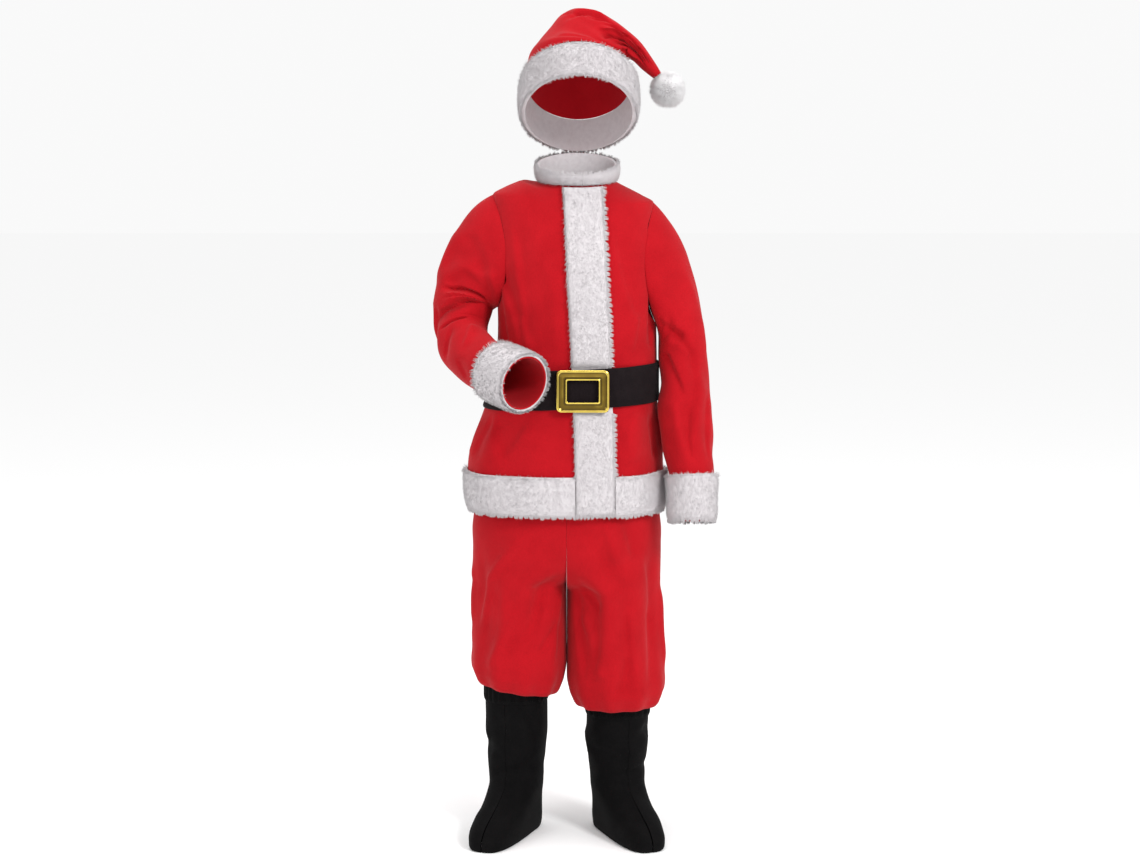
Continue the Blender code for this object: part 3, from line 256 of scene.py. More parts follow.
# One trouser leg from the waist down and round its rolled hem; centre is the leg's own middle from the
# middle of the trousers, and gather is the height of the gathers there
Leg = namedtuple("Leg", "height centre half_width half_depth gather")
TROUSER_LEG = (
    Leg(0.652, 0.0000, 0.1094, 0.0860, 0.0016),
    Leg(0.620, 0.0000, 0.1150, 0.0920, 0.0008),
    Leg(0.570, 0.0000, 0.1260, 0.0985, 0.0000),
    Leg(0.520, 0.0020, 0.1340, 0.1020, 0.0000),
    Leg(0.475, 0.0130, 0.1285, 0.1010, 0.0000),
    Leg(0.440, 0.0310, 0.1110, 0.0970, 0.0000),
    Leg(0.412, 0.0490, 0.0925, 0.0915, 0.0000),
    Leg(0.394, 0.0610, 0.0795, 0.0870, 0.0000),
    Leg(0.378, 0.0692, 0.0691, 0.0830, 0.0000),
    Leg(0.362, 0.0694, 0.0690, 0.0805, 0.0000),
    Leg(0.320, 0.0696, 0.0692, 0.0780, 0.0002),
    Leg(0.280, 0.0711, 0.0706, 0.0775, 0.0006),
    Leg(0.250, 0.0729, 0.0720, 0.0790, 0.0012),
    Leg(0.231, 0.0738, 0.0698, 0.0770, 0.0020),
    Leg(0.2165, 0.0740, 0.0642, 0.0710, 0.0026),
    Leg(0.2085, 0.0737, 0.0572, 0.0625, 0.0026),
    Leg(0.2125, 0.0735, 0.0526, 0.0564, 0.0020),
    Leg(0.222, 0.0737, 0.0502, 0.0527, 0.0014),
)
LEG_FOLDS = (
    Fold(-0.60, 0.24, 0.47, 0.016, -0.0050, 0.6),
    Fold(-1.35, 0.24, 0.46, 0.015, -0.0045, -0.9),
    Fold(-2.05, 0.26, 0.44, 0.014, -0.0050, -1.6),
    Fold(-0.05, 0.25, 0.40, 0.016, 0.0035, 0.4),
    Fold(0.70, 0.24, 0.46, 0.017, -0.0045, 0.5),
    Fold(1.50, 0.24, 0.48, 0.018, 0.0045, -0.5),
    Fold(2.15, 0.26, 0.45, 0.015, -0.0045, 1.2),
)

# A boot cover from its top down, under its sole edge: reaches are from the ankle's middle
Boot = namedtuple("Boot", "height half_width toe_reach heel_reach")
BOOT = (
    Boot(0.207, 0.0455, 0.0465, 0.0465),
    Boot(0.180, 0.0458, 0.0470, 0.0470),
    Boot(0.145, 0.0460, 0.0470, 0.0470),
    Boot(0.112, 0.0430, 0.0455, 0.0450),
    Boot(0.086, 0.0402, 0.0455, 0.0440),
    Boot(0.068, 0.0392, 0.0545, 0.0440),
    Boot(0.055, 0.0372, 0.0720, 0.0435),
    Boot(0.044, 0.0362, 0.0940, 0.0440),
    Boot(0.034, 0.0360, 0.1150, 0.0445),
    Boot(0.024, 0.0360, 0.1310, 0.0450),
    Boot(0.014, 0.0356, 0.1390, 0.0455),
    Boot(0.005, 0.0346, 0.1395, 0.0450),
    Boot(0.000, 0.0315, 0.1360, 0.0420),
    Boot(0.000, 0.0210, 0.1245, 0.0315),
)
TOE_WIDER = 0.12
TOE_SQUARER = 0.8
FOOT_TOP = 0.075
FOOT_FADE = 0.045
BOOT_CREASE_START = 0.05
SHAFT_START = 0.07
SHAFT_SPAN = 0.13
BOOT_SQUARENESS = 2.25
# side is +1 on the wearer's left; top is the lift of the shaft's top edge over the table's
Stand = namedtuple("Stand", "side x y turned_out top")
BOOTS = (
    Stand(1, 0.0723, 0.004, math.radians(21), 0.000),
    Stand(-1, -0.0815, 0.004, math.radians(21), 0.025),
)
# Slack folds round a boot's shaft, as creases over height in metres
BOOT_CREASES = (
    Crease(0.150, -1.2, 1.3, 0.009, -0.0035, 0.010),
    Crease(0.122, -2.2, 1.4, 0.008, -0.0040, -0.008),
    Crease(0.098, -1.0, 1.4, 0.008, -0.0040, 0.008),
    Crease(0.074, -1.6, 1.5, 0.007, -0.0035, 0.000),
    Crease(0.135, 1.6, 1.3, 0.009, -0.0035, 0.008),
    Crease(0.092, 1.3, 1.4, 0.008, -0.0035, -0.006),
)

# The hat's crown, ring by ring to the tip: each ring stands on the line from its under point to its top
# point, seen from the front, and tilt is how far its front is lifted over its back
Hoop = namedtuple("Hoop", "top_x top_z under_x under_z depth tilt")
CROWN = (
    Hoop(-0.0665, 1.1300, 0.0925, 1.1300, 0.0920, 0.0520),
    Hoop(-0.0620, 1.1570, 0.0870, 1.1450, 0.0880, 0.0370),
    Hoop(-0.0475, 1.1830, 0.0845, 1.1530, 0.0800, 0.0200),
    Hoop(-0.0300, 1.2060, 0.0840, 1.1570, 0.0690, 0.0080),
    Hoop(-0.0120, 1.2270, 0.0850, 1.1600, 0.0580, 0.0020),
    Hoop(0.0100, 1.2360, 0.0865, 1.1615, 0.0480, 0.0000),
    Hoop(0.0350, 1.2335, 0.0885, 1.1620, 0.0400, 0.0000),
    Hoop(0.0620, 1.2200, 0.0910, 1.1610, 0.0335, 0.0000),
    Hoop(0.0860, 1.2030, 0.0945, 1.1585, 0.0280, 0.0000),
    Hoop(0.1070, 1.1830, 0.0990, 1.1540, 0.0230, 0.0000),
    Hoop(0.1210, 1.1640, 0.1050, 1.1480, 0.0175, 0.0000),
    Hoop(0.1345, 1.1419, 0.1234, 1.1339, 0.0080, 0.0000),
)
# Soft hollows where the crown falls over to its side, as creases over place
CROWN_FOLDS = (
    Crease(0.30, -0.9, 1.3, 0.09, -0.006, 0.05),
    Crease(0.45, -1.5, 1.0, 0.07, -0.005, 0.05),
    Crease(0.36, 1.1, 1.3, 0.10, -0.006, 0.05),
    Crease(0.62, -1.0, 1.2, 0.06, -0.003, 0.05),
)
CROWN_FOLD_REACH = 0.05
CROWN_SEAM_RADIUS = 0.05
CROWN_LIFT_SPAN = 0.12
HAT_Y = 0.005
BRIM_X = 0.013
BRIM_HALF_WIDTH = 0.0800
BRIM_HALF_DEPTH = 0.0920
BRIM_SIDE_BOTTOM = 1.0825
BRIM_FRONT_LIFT = 0.0525
BRIM_LEAN = 0.002
BRIM_INSIDE = 0.0025


def eased(t):
    """A smooth step from 0 to 1."""
    t = np.clip(t, 0.0, 1.0)
    return t * t * (3 - 2 * t)


def column(rows, name):
    return np.array([getattr(row, name) for row in rows], float)


def smooth_line(xs, ys, at, keep_level=True):
    """Reads a curve through the points at the places asked for; keep_level stops it from overshooting."""
    steps = np.diff(xs)
    slopes = np.diff(ys) / steps
    bends = np.empty(len(xs))
    bends[0], bends[-1] = slopes[0], slopes[-1]
    if keep_level:
        both = slopes[:-1] * slopes[1:]
        total = np.where(both > 0, slopes[:-1] + slopes[1:], 1.0)
        bends[1:-1] = np.where(both > 0, 2 * both / total, 0.0)
    else:
        bends[1:-1] = (slopes[:-1] * steps[1:] + slopes[1:] * steps[:-1]) / (steps[1:] + steps[:-1])
    at = np.clip(at, xs[0], xs[-1])
    k = np.clip(np.searchsorted(xs, at, side="right") - 1, 0, len(steps) - 1)
    t = (at - xs[k]) / steps[k]
    from_start = (1 + 2 * t) * (1 - t) ** 2 * ys[k] + t * (1 - t) ** 2 * steps[k] * bends[k]
    from_end = t * t * (3 - 2 * t) * ys[k + 1] + t * t * (t - 1) * steps[k] * bends[k + 1]
    return from_start + from_end


def by_height(rows, name, height):
    return smooth_line(column(rows, "height"), column(rows, name), height)


def by_row(rows, name, place, keep_level=True):
    """Reads a column at a place from 0 at the first row to 1 at the last."""
    return smooth_line(np.linspace(0, 1, len(rows)), column(rows, name), place, keep_level)


def power(value, exponent):
    return np.sign(value) * np.abs(value) ** exponent


def turned(angle):
    """The same angle between -pi and pi."""
    return (angle + math.pi) % (2 * math.pi) - math.pi


def joined(x, y, z):
    return np.stack(np.broadcast_arrays(x, y, z), axis=-1)


def outward(surface, u, v, side=1):
    """Unit normals of a surface, from its own small steps."""
    step = 1e-4
    across = surface(u + step, v) - surface(u - step, v)
    along = surface(u, v + step) - surface(u, v - step)
    normal = np.cross(across, along)
    return side * normal / np.maximum(np.linalg.norm(normal, axis=-1, keepdims=True), 1e-12)


def fold_sum(folds, turn, height, radius):
    """How far the folds move the cloth outward."""
    total = np.zeros(np.broadcast(turn, height).shape)
    for f in folds:
        middle = (f.low + f.high) / 2
        aside = turned(turn - f.turn - f.lean * (height - middle)) * radius / f.width
        span = 0.35 * (f.high - f.low)
        window = eased((height - f.low) / span) * eased((f.high - height) / span)
        total = total + f.depth * window * np.exp(-(aside**2))
    return total


def crease_sum(creases, turn, along):
    total = np.zeros(np.broadcast(turn, along).shape)
    for c in creases:
        aside = turned(turn - c.turn)
        across = (along - c.along - c.slant * aside) / c.width
        total = total + c.depth * np.exp(-(across**2)) * eased(1 - np.abs(aside) / c.length)
    return total


def rounded(share, edge=FUR_EDGE, reach=FUR_REACH, corner=0.2):
    """The height of a fur band over its cloth at a share of its width: low at both edges."""
    inset = np.clip(np.minimum(share, 1 - share) / corner, 0.0, 1.0)
    return edge + (reach - edge) * np.sqrt(1 - (1 - inset) ** 2)


# The jacket's body


def dip(turn, height):
    """The neck line is lower at the front than at the back."""
    return NECK_DIP * np.sin(turn) * eased((height - NECK_DIP_START) / NECK_DIP_SPAN)


def raised(x, height):
    """The shoulder over the bent arm stands higher than the other."""
    up = eased((height - RAISE_LOW) / RAISE_LOW_SPAN) * (1 - eased((height - RAISE_HIGH) / RAISE_HIGH_SPAN))
    return SHOULDER_RAISE * eased((-x - RAISE_START) / RAISE_SPAN) * up


def torso(turn, height):
    a = by_height(TORSO, "half_width", height)
    b = by_height(TORSO, "half_depth", height)
    shape = 2 / by_height(TORSO, "squareness", height)
    cos, sin = np.cos(turn), np.sin(turn)
    lift = fold_sum(TORSO_FOLDS, turn, height, a)
    x = by_height(TORSO, "centre_x", height) + (a + lift) * power(cos, shape)
    y = by_height(TORSO, "centre_y", height) + (b + lift) * power(sin, shape)
    return joined(x, y, height + dip(turn, height) + raised(x, height))


def front_turn(x, height):
    """The turn at which the front of the jacket's body lies at x."""
    a = by_height(TORSO, "half_width", height)
    share = (x - by_height(TORSO, "centre_x", height)) / a
    shape = by_height(TORSO, "squareness", height) / 2
    return -np.arccos(np.clip(power(share, shape), -1, 1))


def closure_turn(height, offset=0.0):
    return front_turn(by_height(CLOSURE, "x", height) + offset, height)


def armpit_height(side):
    return np.where(np.asarray(side) > 0, ARMPIT_LEFT, ARMPIT_RIGHT)


def armhole_height(side, phi):
    armpit = armpit_height(side)
    return (armpit + SHOULDER_HEIGHT) / 2 - (SHOULDER_HEIGHT - armpit) / 2 * np.cos(phi)


def spread(start, end, columns):
    """Values from start to end on each row, in even steps."""
    share = np.linspace(0, 1, columns + 1)
    return start[:, None] + (end - start)[:, None] * share[None, :]


def collar(turn, share):
    """The collar's middle face: it stands on the neck's edge, higher at the back and sides."""
    base = torso(turn, NECK_HEIGHT + 0 * share)
    rise = COLLAR_RISE + COLLAR_BACK_RISE * np.sin(turn)
    lean = COLLAR_LEAN * share
    radial = joined(np.cos(turn), np.sin(turn), 0 * turn)
    return base + radial * lean[..., None] + joined(0 * turn, 0 * turn, SEAM + share * rise)


def belt_middle(x):
    return BELT_MIDDLE + BELT_TILT * x


def belt(turn, share):
    """The belt's inner face: it lies on the jacket, and over the pressed fur at the front."""
    flat = torso(turn, BELT_MIDDLE + 0 * share)
    height = belt_middle(flat[..., 0]) + (share - 0.5) * BELT_HEIGHT
    base = torso(turn, height)
    normal = outward(torso, turn, height)
    x = by_height(CLOSURE, "x", height)
    near = 1 - eased((np.abs(base[..., 0] - x) - PLACKET_HALF - BELT_RAMP_START) / BELT_RAMP)
    near = near * (base[..., 1] < 0)
    stand = BELT_STAND + (PLACKET_PRESSED - BELT_SINK) * near
    return base + stand[..., None] * normal


def rectangle_ring(width, height, radius, steps=3):
    """A rounded rectangle round the origin, in x and z."""
    points = []
    corners = ((1, 1, 0), (-1, 1, 90), (-1, -1, 180), (1, -1, 270))
    for sx, sz, first in corners:
        for k in range(steps + 1):
            angle = math.radians(first + 90 * k / steps)
            x = sx * (width / 2 - radius) + radius * math.cos(angle)
            z = sz * (height / 2 - radius) + radius * math.sin(angle)
            points.append((x, z))
    return np.array(points)


# Sleeves


def armhole(side, phi):
    """A point on the armhole's edge: phi runs from 0 at the armpit over the front to pi at the shoulder."""
    turn = np.where(side > 0, 0.0, math.pi) - side * (ARMHOLE_TURN - ARMHOLE_SLACK) * np.sin(phi)
    middle = float(armpit_height(side) + SHOULDER_HEIGHT) / 2
    return torso(turn, middle + (armhole_height(side, phi) - middle) * ARMHOLE_SHARE)


def tube_frames(rows, side, samples=121):
    """The tube's middle line with directions carried along it without twist."""
    place = np.linspace(0, 1, samples)
    line = joined(*(by_row(rows, name, place, keep_level=False) for name in ("x", "y", "z")))
    along = np.gradient(line, axis=0)
    along /= np.linalg.norm(along, axis=1, keepdims=True)
    top = np.empty_like(line)
    guide = np.array([float(side), 0.0, 0.0])
    for k in range(samples):
        guide = guide - guide.dot(along[k]) * along[k]
        guide /= np.linalg.norm(guide)
        top[k] = guide
    front = side * np.cross(along, top)
    return place, line, along, top, front


class Sleeve:
    """A sleeve's surface: along runs from 0 at the armhole to 1 under its head and 2 at the wrist."""

    def __init__(self, side, rows, creases):
        self.side, self.rows, self.creases = side, rows, creases
        self.place, self.line, self.along, self.top, self.front = tube_frames(rows, side)

    def read(self, track, place):
        return joined(*(np.interp(place, self.place, track[:, k]) for k in range(3)))

    def tube(self, phi, place):
        across = by_row(self.rows, "across", place)[..., None]
        deep = by_row(self.rows, "deep", place)[..., None]
        cos, sin = np.cos(phi)[..., None], np.sin(phi)[..., None]
        return self.read(self.line, place) - across * cos * self.read(self.top, place) + (
            deep * sin * self.read(self.front, place)
        )

    def head(self, phi, t):
        """Curves from the armhole's edge to the tube's first ring."""
        start = armhole(self.side, phi)
        end = self.tube(phi, 0 * t)
        chord = np.linalg.norm(end - start, axis=-1, keepdims=True)
        topness = (1 - np.cos(phi)) / 2
        shoulder = LEAVE_SHOULDER_HANGING if self.side > 0 else LEAVE_SHOULDER_BENT
        aside = LEAVE_ARMPIT.aside + (shoulder.aside - LEAVE_ARMPIT.aside) * topness
        down = LEAVE_ARMPIT.down + (shoulder.down - LEAVE_ARMPIT.down) * topness
        lead = joined(self.side * aside, -LEAVE_FORWARD * np.sin(phi), -down)
        lead = lead / np.linalg.norm(lead, axis=-1, keepdims=True) * chord
        arrive = self.read(self.along, 0 * t) * chord * ARRIVE
        t = t[..., None]
        from_start = (1 + 2 * t) * (1 - t) ** 2 * start + t * (1 - t) ** 2 * lead
        return from_start + t * t * (3 - 2 * t) * end + t * t * (t - 1) * arrive

    def smooth(self, phi, v):
        phi, v = np.broadcast_arrays(phi, v)
        upper = self.head(phi, np.clip(v, 0, 1))
        lower = self.tube(phi, np.clip(v - 1, 0, 1))
        return np.where((v < 1)[..., None], upper, lower)

    def __call__(self, phi, v):
        base = self.smooth(phi, v)
        middle = self.smooth(phi + math.pi, v)
        out = base - (base + middle) / 2
        out = out / np.linalg.norm(out, axis=-1, keepdims=True)
        under = 1 - eased((1 - np.cos(phi)) / CREASE_CALM_TURN)
        fade = eased(v / CREASE_START) * (1 - under * eased((CREASE_CALM_END - v) / CREASE_CALM_FADE))
        return base + out * (crease_sum(self.creases, phi, v) * fade)[..., None]


def wrist_start(sleeve):
    """Where along the sleeve its cuff begins."""
    v = np.linspace(1, 2, 101)
    line = sleeve.read(sleeve.line, v - 1)
    left = np.linalg.norm(np.diff(line, axis=0), axis=1)[::-1].cumsum()[::-1]
    return float(v[:-1][left > CUFF_HEIGHT][-1])


# Trousers


class TrouserLeg:
    """One leg's surface: across runs from -1 to 1 between its seams, place from the waist to the hem."""

    def __init__(self, side):
        self.side = side

    def edge_turn(self, place):
        centre = by_row(TROUSER_LEG, "centre", place)
        half = by_row(TROUSER_LEG, "half_width", place)
        share = (SEAM / 2 - centre) / half
        slit = math.pi - SEAM / 2 / by_row(TROUSER_LEG, "half_depth", place)
        return np.where(share > -1, np.minimum(np.arccos(np.clip(share, -1, 1)), slit), slit)

    def __call__(self, across, place):
        across, place = np.broadcast_arrays(across, place)
        turn = across * self.edge_turn(place)
        height = by_row(TROUSER_LEG, "height", place)
        centre = by_row(TROUSER_LEG, "centre", place)
        half_width = by_row(TROUSER_LEG, "half_width", place)
        half_depth = by_row(TROUSER_LEG, "half_depth", place)
        waves = by_row(TROUSER_LEG, "gather", place) * np.sin(KNEE_WAVES * math.pi * across)
        lift = waves + fold_sum(LEG_FOLDS, turn, height, half_width)
        lift = lift * eased((1 - np.abs(across)) / LEG_SEAM_CALM)
        x = TROUSERS_X + self.side * (centre + (half_width + lift) * np.cos(turn))
        y = TROUSERS_Y + (half_depth + lift) * np.sin(turn)
        low = eased((LEG_DROP_START - height) / LEG_DROP_SPAN)
        x = x + LEFT_LEG_WIDER * low * (self.side > 0) * (x - TROUSERS_X)
        tilt = HEM_TILTS[self.side] * np.cos(turn) * eased((HEM_TILT_START - height) / HEM_TILT_SPAN)
        return joined(x, y, height + tilt - self.side * LEG_DROP * low)


def waistband(turn, share):
    """The gathered elastic waistband, on top of both legs."""
    first = TROUSER_LEG[0]
    wave = WAIST_WAVE * np.sin(WAIST_WAVES * turn)
    x = TROUSERS_X + (first.half_width + wave) * np.cos(turn)
    y = TROUSERS_Y + (first.half_depth + wave) * np.sin(turn)
    return joined(x, y, first.height + SEAM + share * WAISTBAND_HEIGHT)


# Boot covers


class BootCover:
    """A boot cover's surface: the toe is at a turn of -pi/2, place runs from the top to the sole."""

    def __init__(self, stand):
        self.stand = stand

    def __call__(self, turn, place):
        turn, place = np.broadcast_arrays(turn, place)
        height = by_row(BOOT, "height", place)
        cos, sin = np.cos(turn), np.sin(turn)
        reach = np.where(sin < 0, by_row(BOOT, "toe_reach", place), by_row(BOOT, "heel_reach", place))
        low = eased((FOOT_TOP - height) / FOOT_FADE)
        shape = 2 / (BOOT_SQUARENESS + TOE_SQUARER * low * (sin < 0))
        lift = crease_sum(BOOT_CREASES, turn, height) * eased(height / BOOT_CREASE_START)
        forward = np.clip(-sin, 0, 1) * low
        x = (by_row(BOOT, "half_width", place) * (1 + TOE_WIDER * forward) + lift) * power(cos, shape)
        y = (reach + lift) * power(sin, shape)
        out = self.stand.side * self.stand.turned_out
        height = height + self.stand.top * eased((height - SHAFT_START) / SHAFT_SPAN)
        return joined(
            self.stand.x + x * math.cos(out) - y * math.sin(out),
            self.stand.y + x * math.sin(out) + y * math.cos(out),
            height,
        )


# Hat


def brim_bottom(turn):
    return BRIM_SIDE_BOTTOM - BRIM_FRONT_LIFT * np.sin(turn)


def brim(turn, share):
    """The face that the brim's fur stands on, a slightly conical ring, high over the forehead."""
    lean = BRIM_LEAN * (1 - share)
    x = BRIM_X + (BRIM_HALF_WIDTH + lean) * np.cos(turn)
    y = HAT_Y + (BRIM_HALF_DEPTH + lean) * np.sin(turn)
    return joined(x, y, brim_bottom(turn) + share * BRIM_HEIGHT)


def crown(turn, place):
    """The crown's surface: turn is 0 under the fallen side and pi on top, place from the brim to the tip."""
    turn, place = np.broadcast_arrays(turn, place)
    top = joined(by_row(CROWN, "top_x", place), 0 * place, by_row(CROWN, "top_z", place))
    under = joined(by_row(CROWN, "under_x", place), 0 * place, by_row(CROWN, "under_z", place))
    middle, half = (top + under) / 2, (under - top) / 2
    cos, sin = np.cos(turn)[..., None], np.sin(turn)
    depth = by_row(CROWN, "depth", place)
    folds = crease_sum(CROWN_FOLDS, turn, place)
    y = HAT_Y + (depth + folds) * sin
    tilt = -by_row(CROWN, "tilt", place) * sin
    return middle + half * cos * (1 + folds / CROWN_FOLD_REACH)[..., None] + joined(0 * y, y, tilt)


def crown_above_brim(turn, place):
    """The crown, lifted a seam's gap off the brim."""
    thick = CLOTH * np.clip(outward(crown, turn, 0 * turn)[..., 2], 0, 1)
    lift = 2 * SEAM + (brim_top_error(turn) + thick) * (1 - eased(place / CROWN_LIFT_SPAN))
    return crown(turn, place) + joined(0 * lift, 0 * lift, lift)


def brim_top_error(turn):
    """What the crown's first ring lacks to the brim's top edge."""
    wanted = brim_bottom(turn) + BRIM_HEIGHT
    return wanted - crown(turn, 0 * turn)[..., 2]


# Finer shapes: folds drawn one by one, and slight unevenness

ORIGIN = np.array([NECK_CENTRE_X, 0.0, NECK_HEIGHT])

# A fold from one place on the cloth to another, with its bow to one side; a negative depth is a trough
Line = namedtuple("Line", "u1 v1 u2 v2 width depth bow")
JACKET_LINES = (
    Line(-2.30, 0.925, -2.12, 0.745, 0.017, -0.0032, 0.006),
    Line(-2.75, 0.860, -2.20, 0.740, 0.015, -0.0042, 0.010),
    Line(-2.45, 0.655, -2.05, 0.565, 0.016, -0.0044, -0.006),
    Line(-0.42, 0.930, -0.50, 0.740, 0.013, -0.0046, 0.004),
    Line(-0.80, 0.660, -1.15, 0.565, 0.015, 0.0038, 0.005),
    Line(-2.72, 0.900, -2.50, 0.780, 0.014, 0.0028, -0.005),
    Line(-1.85, 0.880, -1.75, 0.730, 0.020, 0.0020, 0.004),
    Line(-2.05, 0.735, -2.30, 0.790, 0.010, 0.0022, 0.003),
    Line(-2.55, 0.740, -2.75, 0.800, 0.010, -0.0022, 0.002),
    Line(-1.95, 0.640, -2.25, 0.570, 0.012, 0.0026, 0.004),
    Line(-2.55, 0.650, -2.80, 0.575, 0.012, -0.0026, 0.003),
    Line(-2.90, 0.640, -2.95, 0.570, 0.012, 0.0022, 0.000),
    Line(-1.10, 0.930, -0.72, 0.770, 0.018, -0.0026, -0.006),
    Line(-0.55, 0.920, -0.42, 0.800, 0.013, 0.0028, 0.004),
    Line(-0.95, 0.735, -0.80, 0.800, 0.012, 0.0020, 0.002),
    Line(-0.45, 0.735, -0.35, 0.780, 0.010, -0.0020, 0.002),
    Line(-1.05, 0.650, -0.85, 0.570, 0.014, 0.0024, 0.003),
    Line(-0.50, 0.645, -0.40, 0.570, 0.012, -0.0026, 0.003),
    Line(-0.15, 0.650, -0.12, 0.575, 0.012, 0.0026, 0.000),
    Line(0.55, 0.900, 0.95, 0.740, 0.018, 0.0032, 0.008),
    Line(1.20, 0.930, 1.05, 0.790, 0.022, -0.0028, 0.006),
    Line(1.75, 0.920, 1.90, 0.750, 0.020, 0.0026, -0.006),
    Line(2.55, 0.900, 2.20, 0.760, 0.018, -0.0030, -0.007),
    Line(0.35, 0.650, 0.42, 0.570, 0.013, -0.0030, 0.003),
    Line(0.85, 0.655, 0.80, 0.570, 0.015, 0.0032, 0.003),
    Line(1.40, 0.650, 1.48, 0.572, 0.013, -0.0026, -0.003),
    Line(2.00, 0.655, 1.92, 0.570, 0.015, 0.0030, 0.003),
    Line(2.60, 0.650, 2.65, 0.570, 0.013, -0.0028, 0.002),
    Line(0.90, 0.725, 0.80, 0.775, 0.010, -0.0022, 0.002),
    Line(1.55, 0.725, 1.58, 0.785, 0.011, 0.0022, 0.002),
    Line(2.30, 0.725, 2.38, 0.770, 0.010, -0.0020, 0.001),
)
# On a sleeve: the turn from the armpit over the front, and the place along it
LINES_HANGING = (
    Line(0.85, 0.30, 1.90, 0.92, 0.009, -0.0034, 0.010),
    Line(1.20, 0.45, 2.20, 1.20, 0.015, -0.0042, 0.012),
    Line(1.90, 0.95, 1.40, 1.55, 0.013, -0.0036, -0.008),
    Line(0.95, 0.62, 2.10, 1.12, 0.008, 0.0030, 0.008),
    Line(0.60, 0.90, 1.60, 1.30, 0.008, -0.0030, 0.006),
    Line(2.30, 0.40, 2.55, 1.10, 0.013, 0.0026, -0.006),
    Line(1.10, 1.25, 1.60, 1.68, 0.008, 0.0030, 0.004),
    Line(1.75, 1.30, 1.50, 1.66, 0.007, -0.0028, 0.003),
    Line(2.70, 1.20, 2.40, 1.66, 0.009, -0.0026, 0.004),
    Line(3.60, 0.60, 4.20, 1.20, 0.011, -0.0030, 0.008),
    Line(4.00, 1.10, 4.60, 1.62, 0.010, 0.0030, 0.006),
    Line(5.10, 0.55, 4.80, 1.20, 0.010, -0.0028, -0.006),
    Line(5.40, 1.20, 5.20, 1.64, 0.008, 0.0024, 0.003),
)
LINES_BENT = (
    Line(0.70, 0.66, 2.60, 0.88, 0.007, -0.0056, 0.006),
    Line(0.75, 0.74, 2.40, 0.95, 0.006, 0.0036, 0.005),
    Line(1.00, 0.86, 2.90, 1.16, 0.008, -0.0044, 0.007),
    Line(1.60, 0.30, 2.40, 0.88, 0.015, -0.0044, 0.010),
    Line(2.60, 1.02, 3.60, 1.30, 0.009, -0.0040, 0.006),
    Line(0.80, 0.80, 2.30, 1.02, 0.006, 0.0034, 0.005),
    Line(0.90, 0.93, 2.70, 1.10, 0.005, -0.0040, 0.004),
    Line(1.30, 0.20, 2.00, 0.62, 0.012, 0.0030, 0.008),
    Line(2.00, 0.25, 2.60, 0.75, 0.013, -0.0028, -0.006),
    Line(2.90, 0.35, 3.10, 0.85, 0.014, 0.0026, 0.004),
    Line(1.20, 1.20, 2.60, 1.27, 0.006, -0.0034, 0.004),
    Line(1.90, 1.35, 3.20, 1.46, 0.008, -0.0026, 0.004),
    Line(1.10, 1.40, 2.20, 1.62, 0.007, 0.0026, 0.004),
    Line(2.60, 1.60, 3.30, 1.70, 0.008, -0.0020, 0.002),
    Line(3.60, 0.50, 4.40, 1.00, 0.012, -0.0030, 0.006),
    Line(4.20, 0.90, 5.00, 1.25, 0.010, 0.0028, 0.006),
    Line(4.60, 1.20, 5.20, 1.60, 0.009, -0.0026, 0.004),
)
# On a trouser leg: the turn from its outer side over the front, and the height
LINES_LEG_LEFT = (
    Line(-1.47, 0.490, -1.42, 0.405, 0.009, -0.0036, 0.002),
    Line(-2.45, 0.410, -2.10, 0.250, 0.0160, -0.0050, -0.009),
    Line(-1.75, 0.420, -1.95, 0.245, 0.0180, 0.0040, 0.010),
    Line(-0.60, 0.370, -0.85, 0.240, 0.0170, -0.0036, 0.008),
    Line(-1.30, 0.300, -1.60, 0.235, 0.0120, -0.0032, 0.005),
    Line(-1.20, 0.500, -1.22, 0.420, 0.009, 0.0034, 0.002),
    Line(-0.95, 0.490, -0.92, 0.430, 0.009, -0.0028, 0.002),
    Line(-2.40, 0.388, -1.90, 0.352, 0.009, -0.0042, 0.005),
    Line(-2.45, 0.352, -2.05, 0.300, 0.010, 0.0030, 0.005),
    Line(-2.30, 0.262, -1.75, 0.268, 0.010, 0.0028, 0.004),
    Line(-1.25, 0.370, -1.20, 0.235, 0.007, 0.0026, 0.003),
    Line(-0.70, 0.440, -0.55, 0.300, 0.012, -0.0026, 0.005),
    Line(-0.20, 0.400, -0.10, 0.250, 0.012, 0.0026, 0.004),
    Line(0.50, 0.470, 0.70, 0.300, 0.014, -0.0030, 0.006),
    Line(1.10, 0.480, 1.30, 0.330, 0.014, 0.0032, 0.006),
    Line(1.90, 0.420, 1.60, 0.280, 0.013, -0.0030, -0.006),
    Line(2.30, 0.400, 2.05, 0.300, 0.011, 0.0028, 0.004),
    Line(1.45, 0.300, 1.50, 0.235, 0.010, 0.0024, 0.002),
)
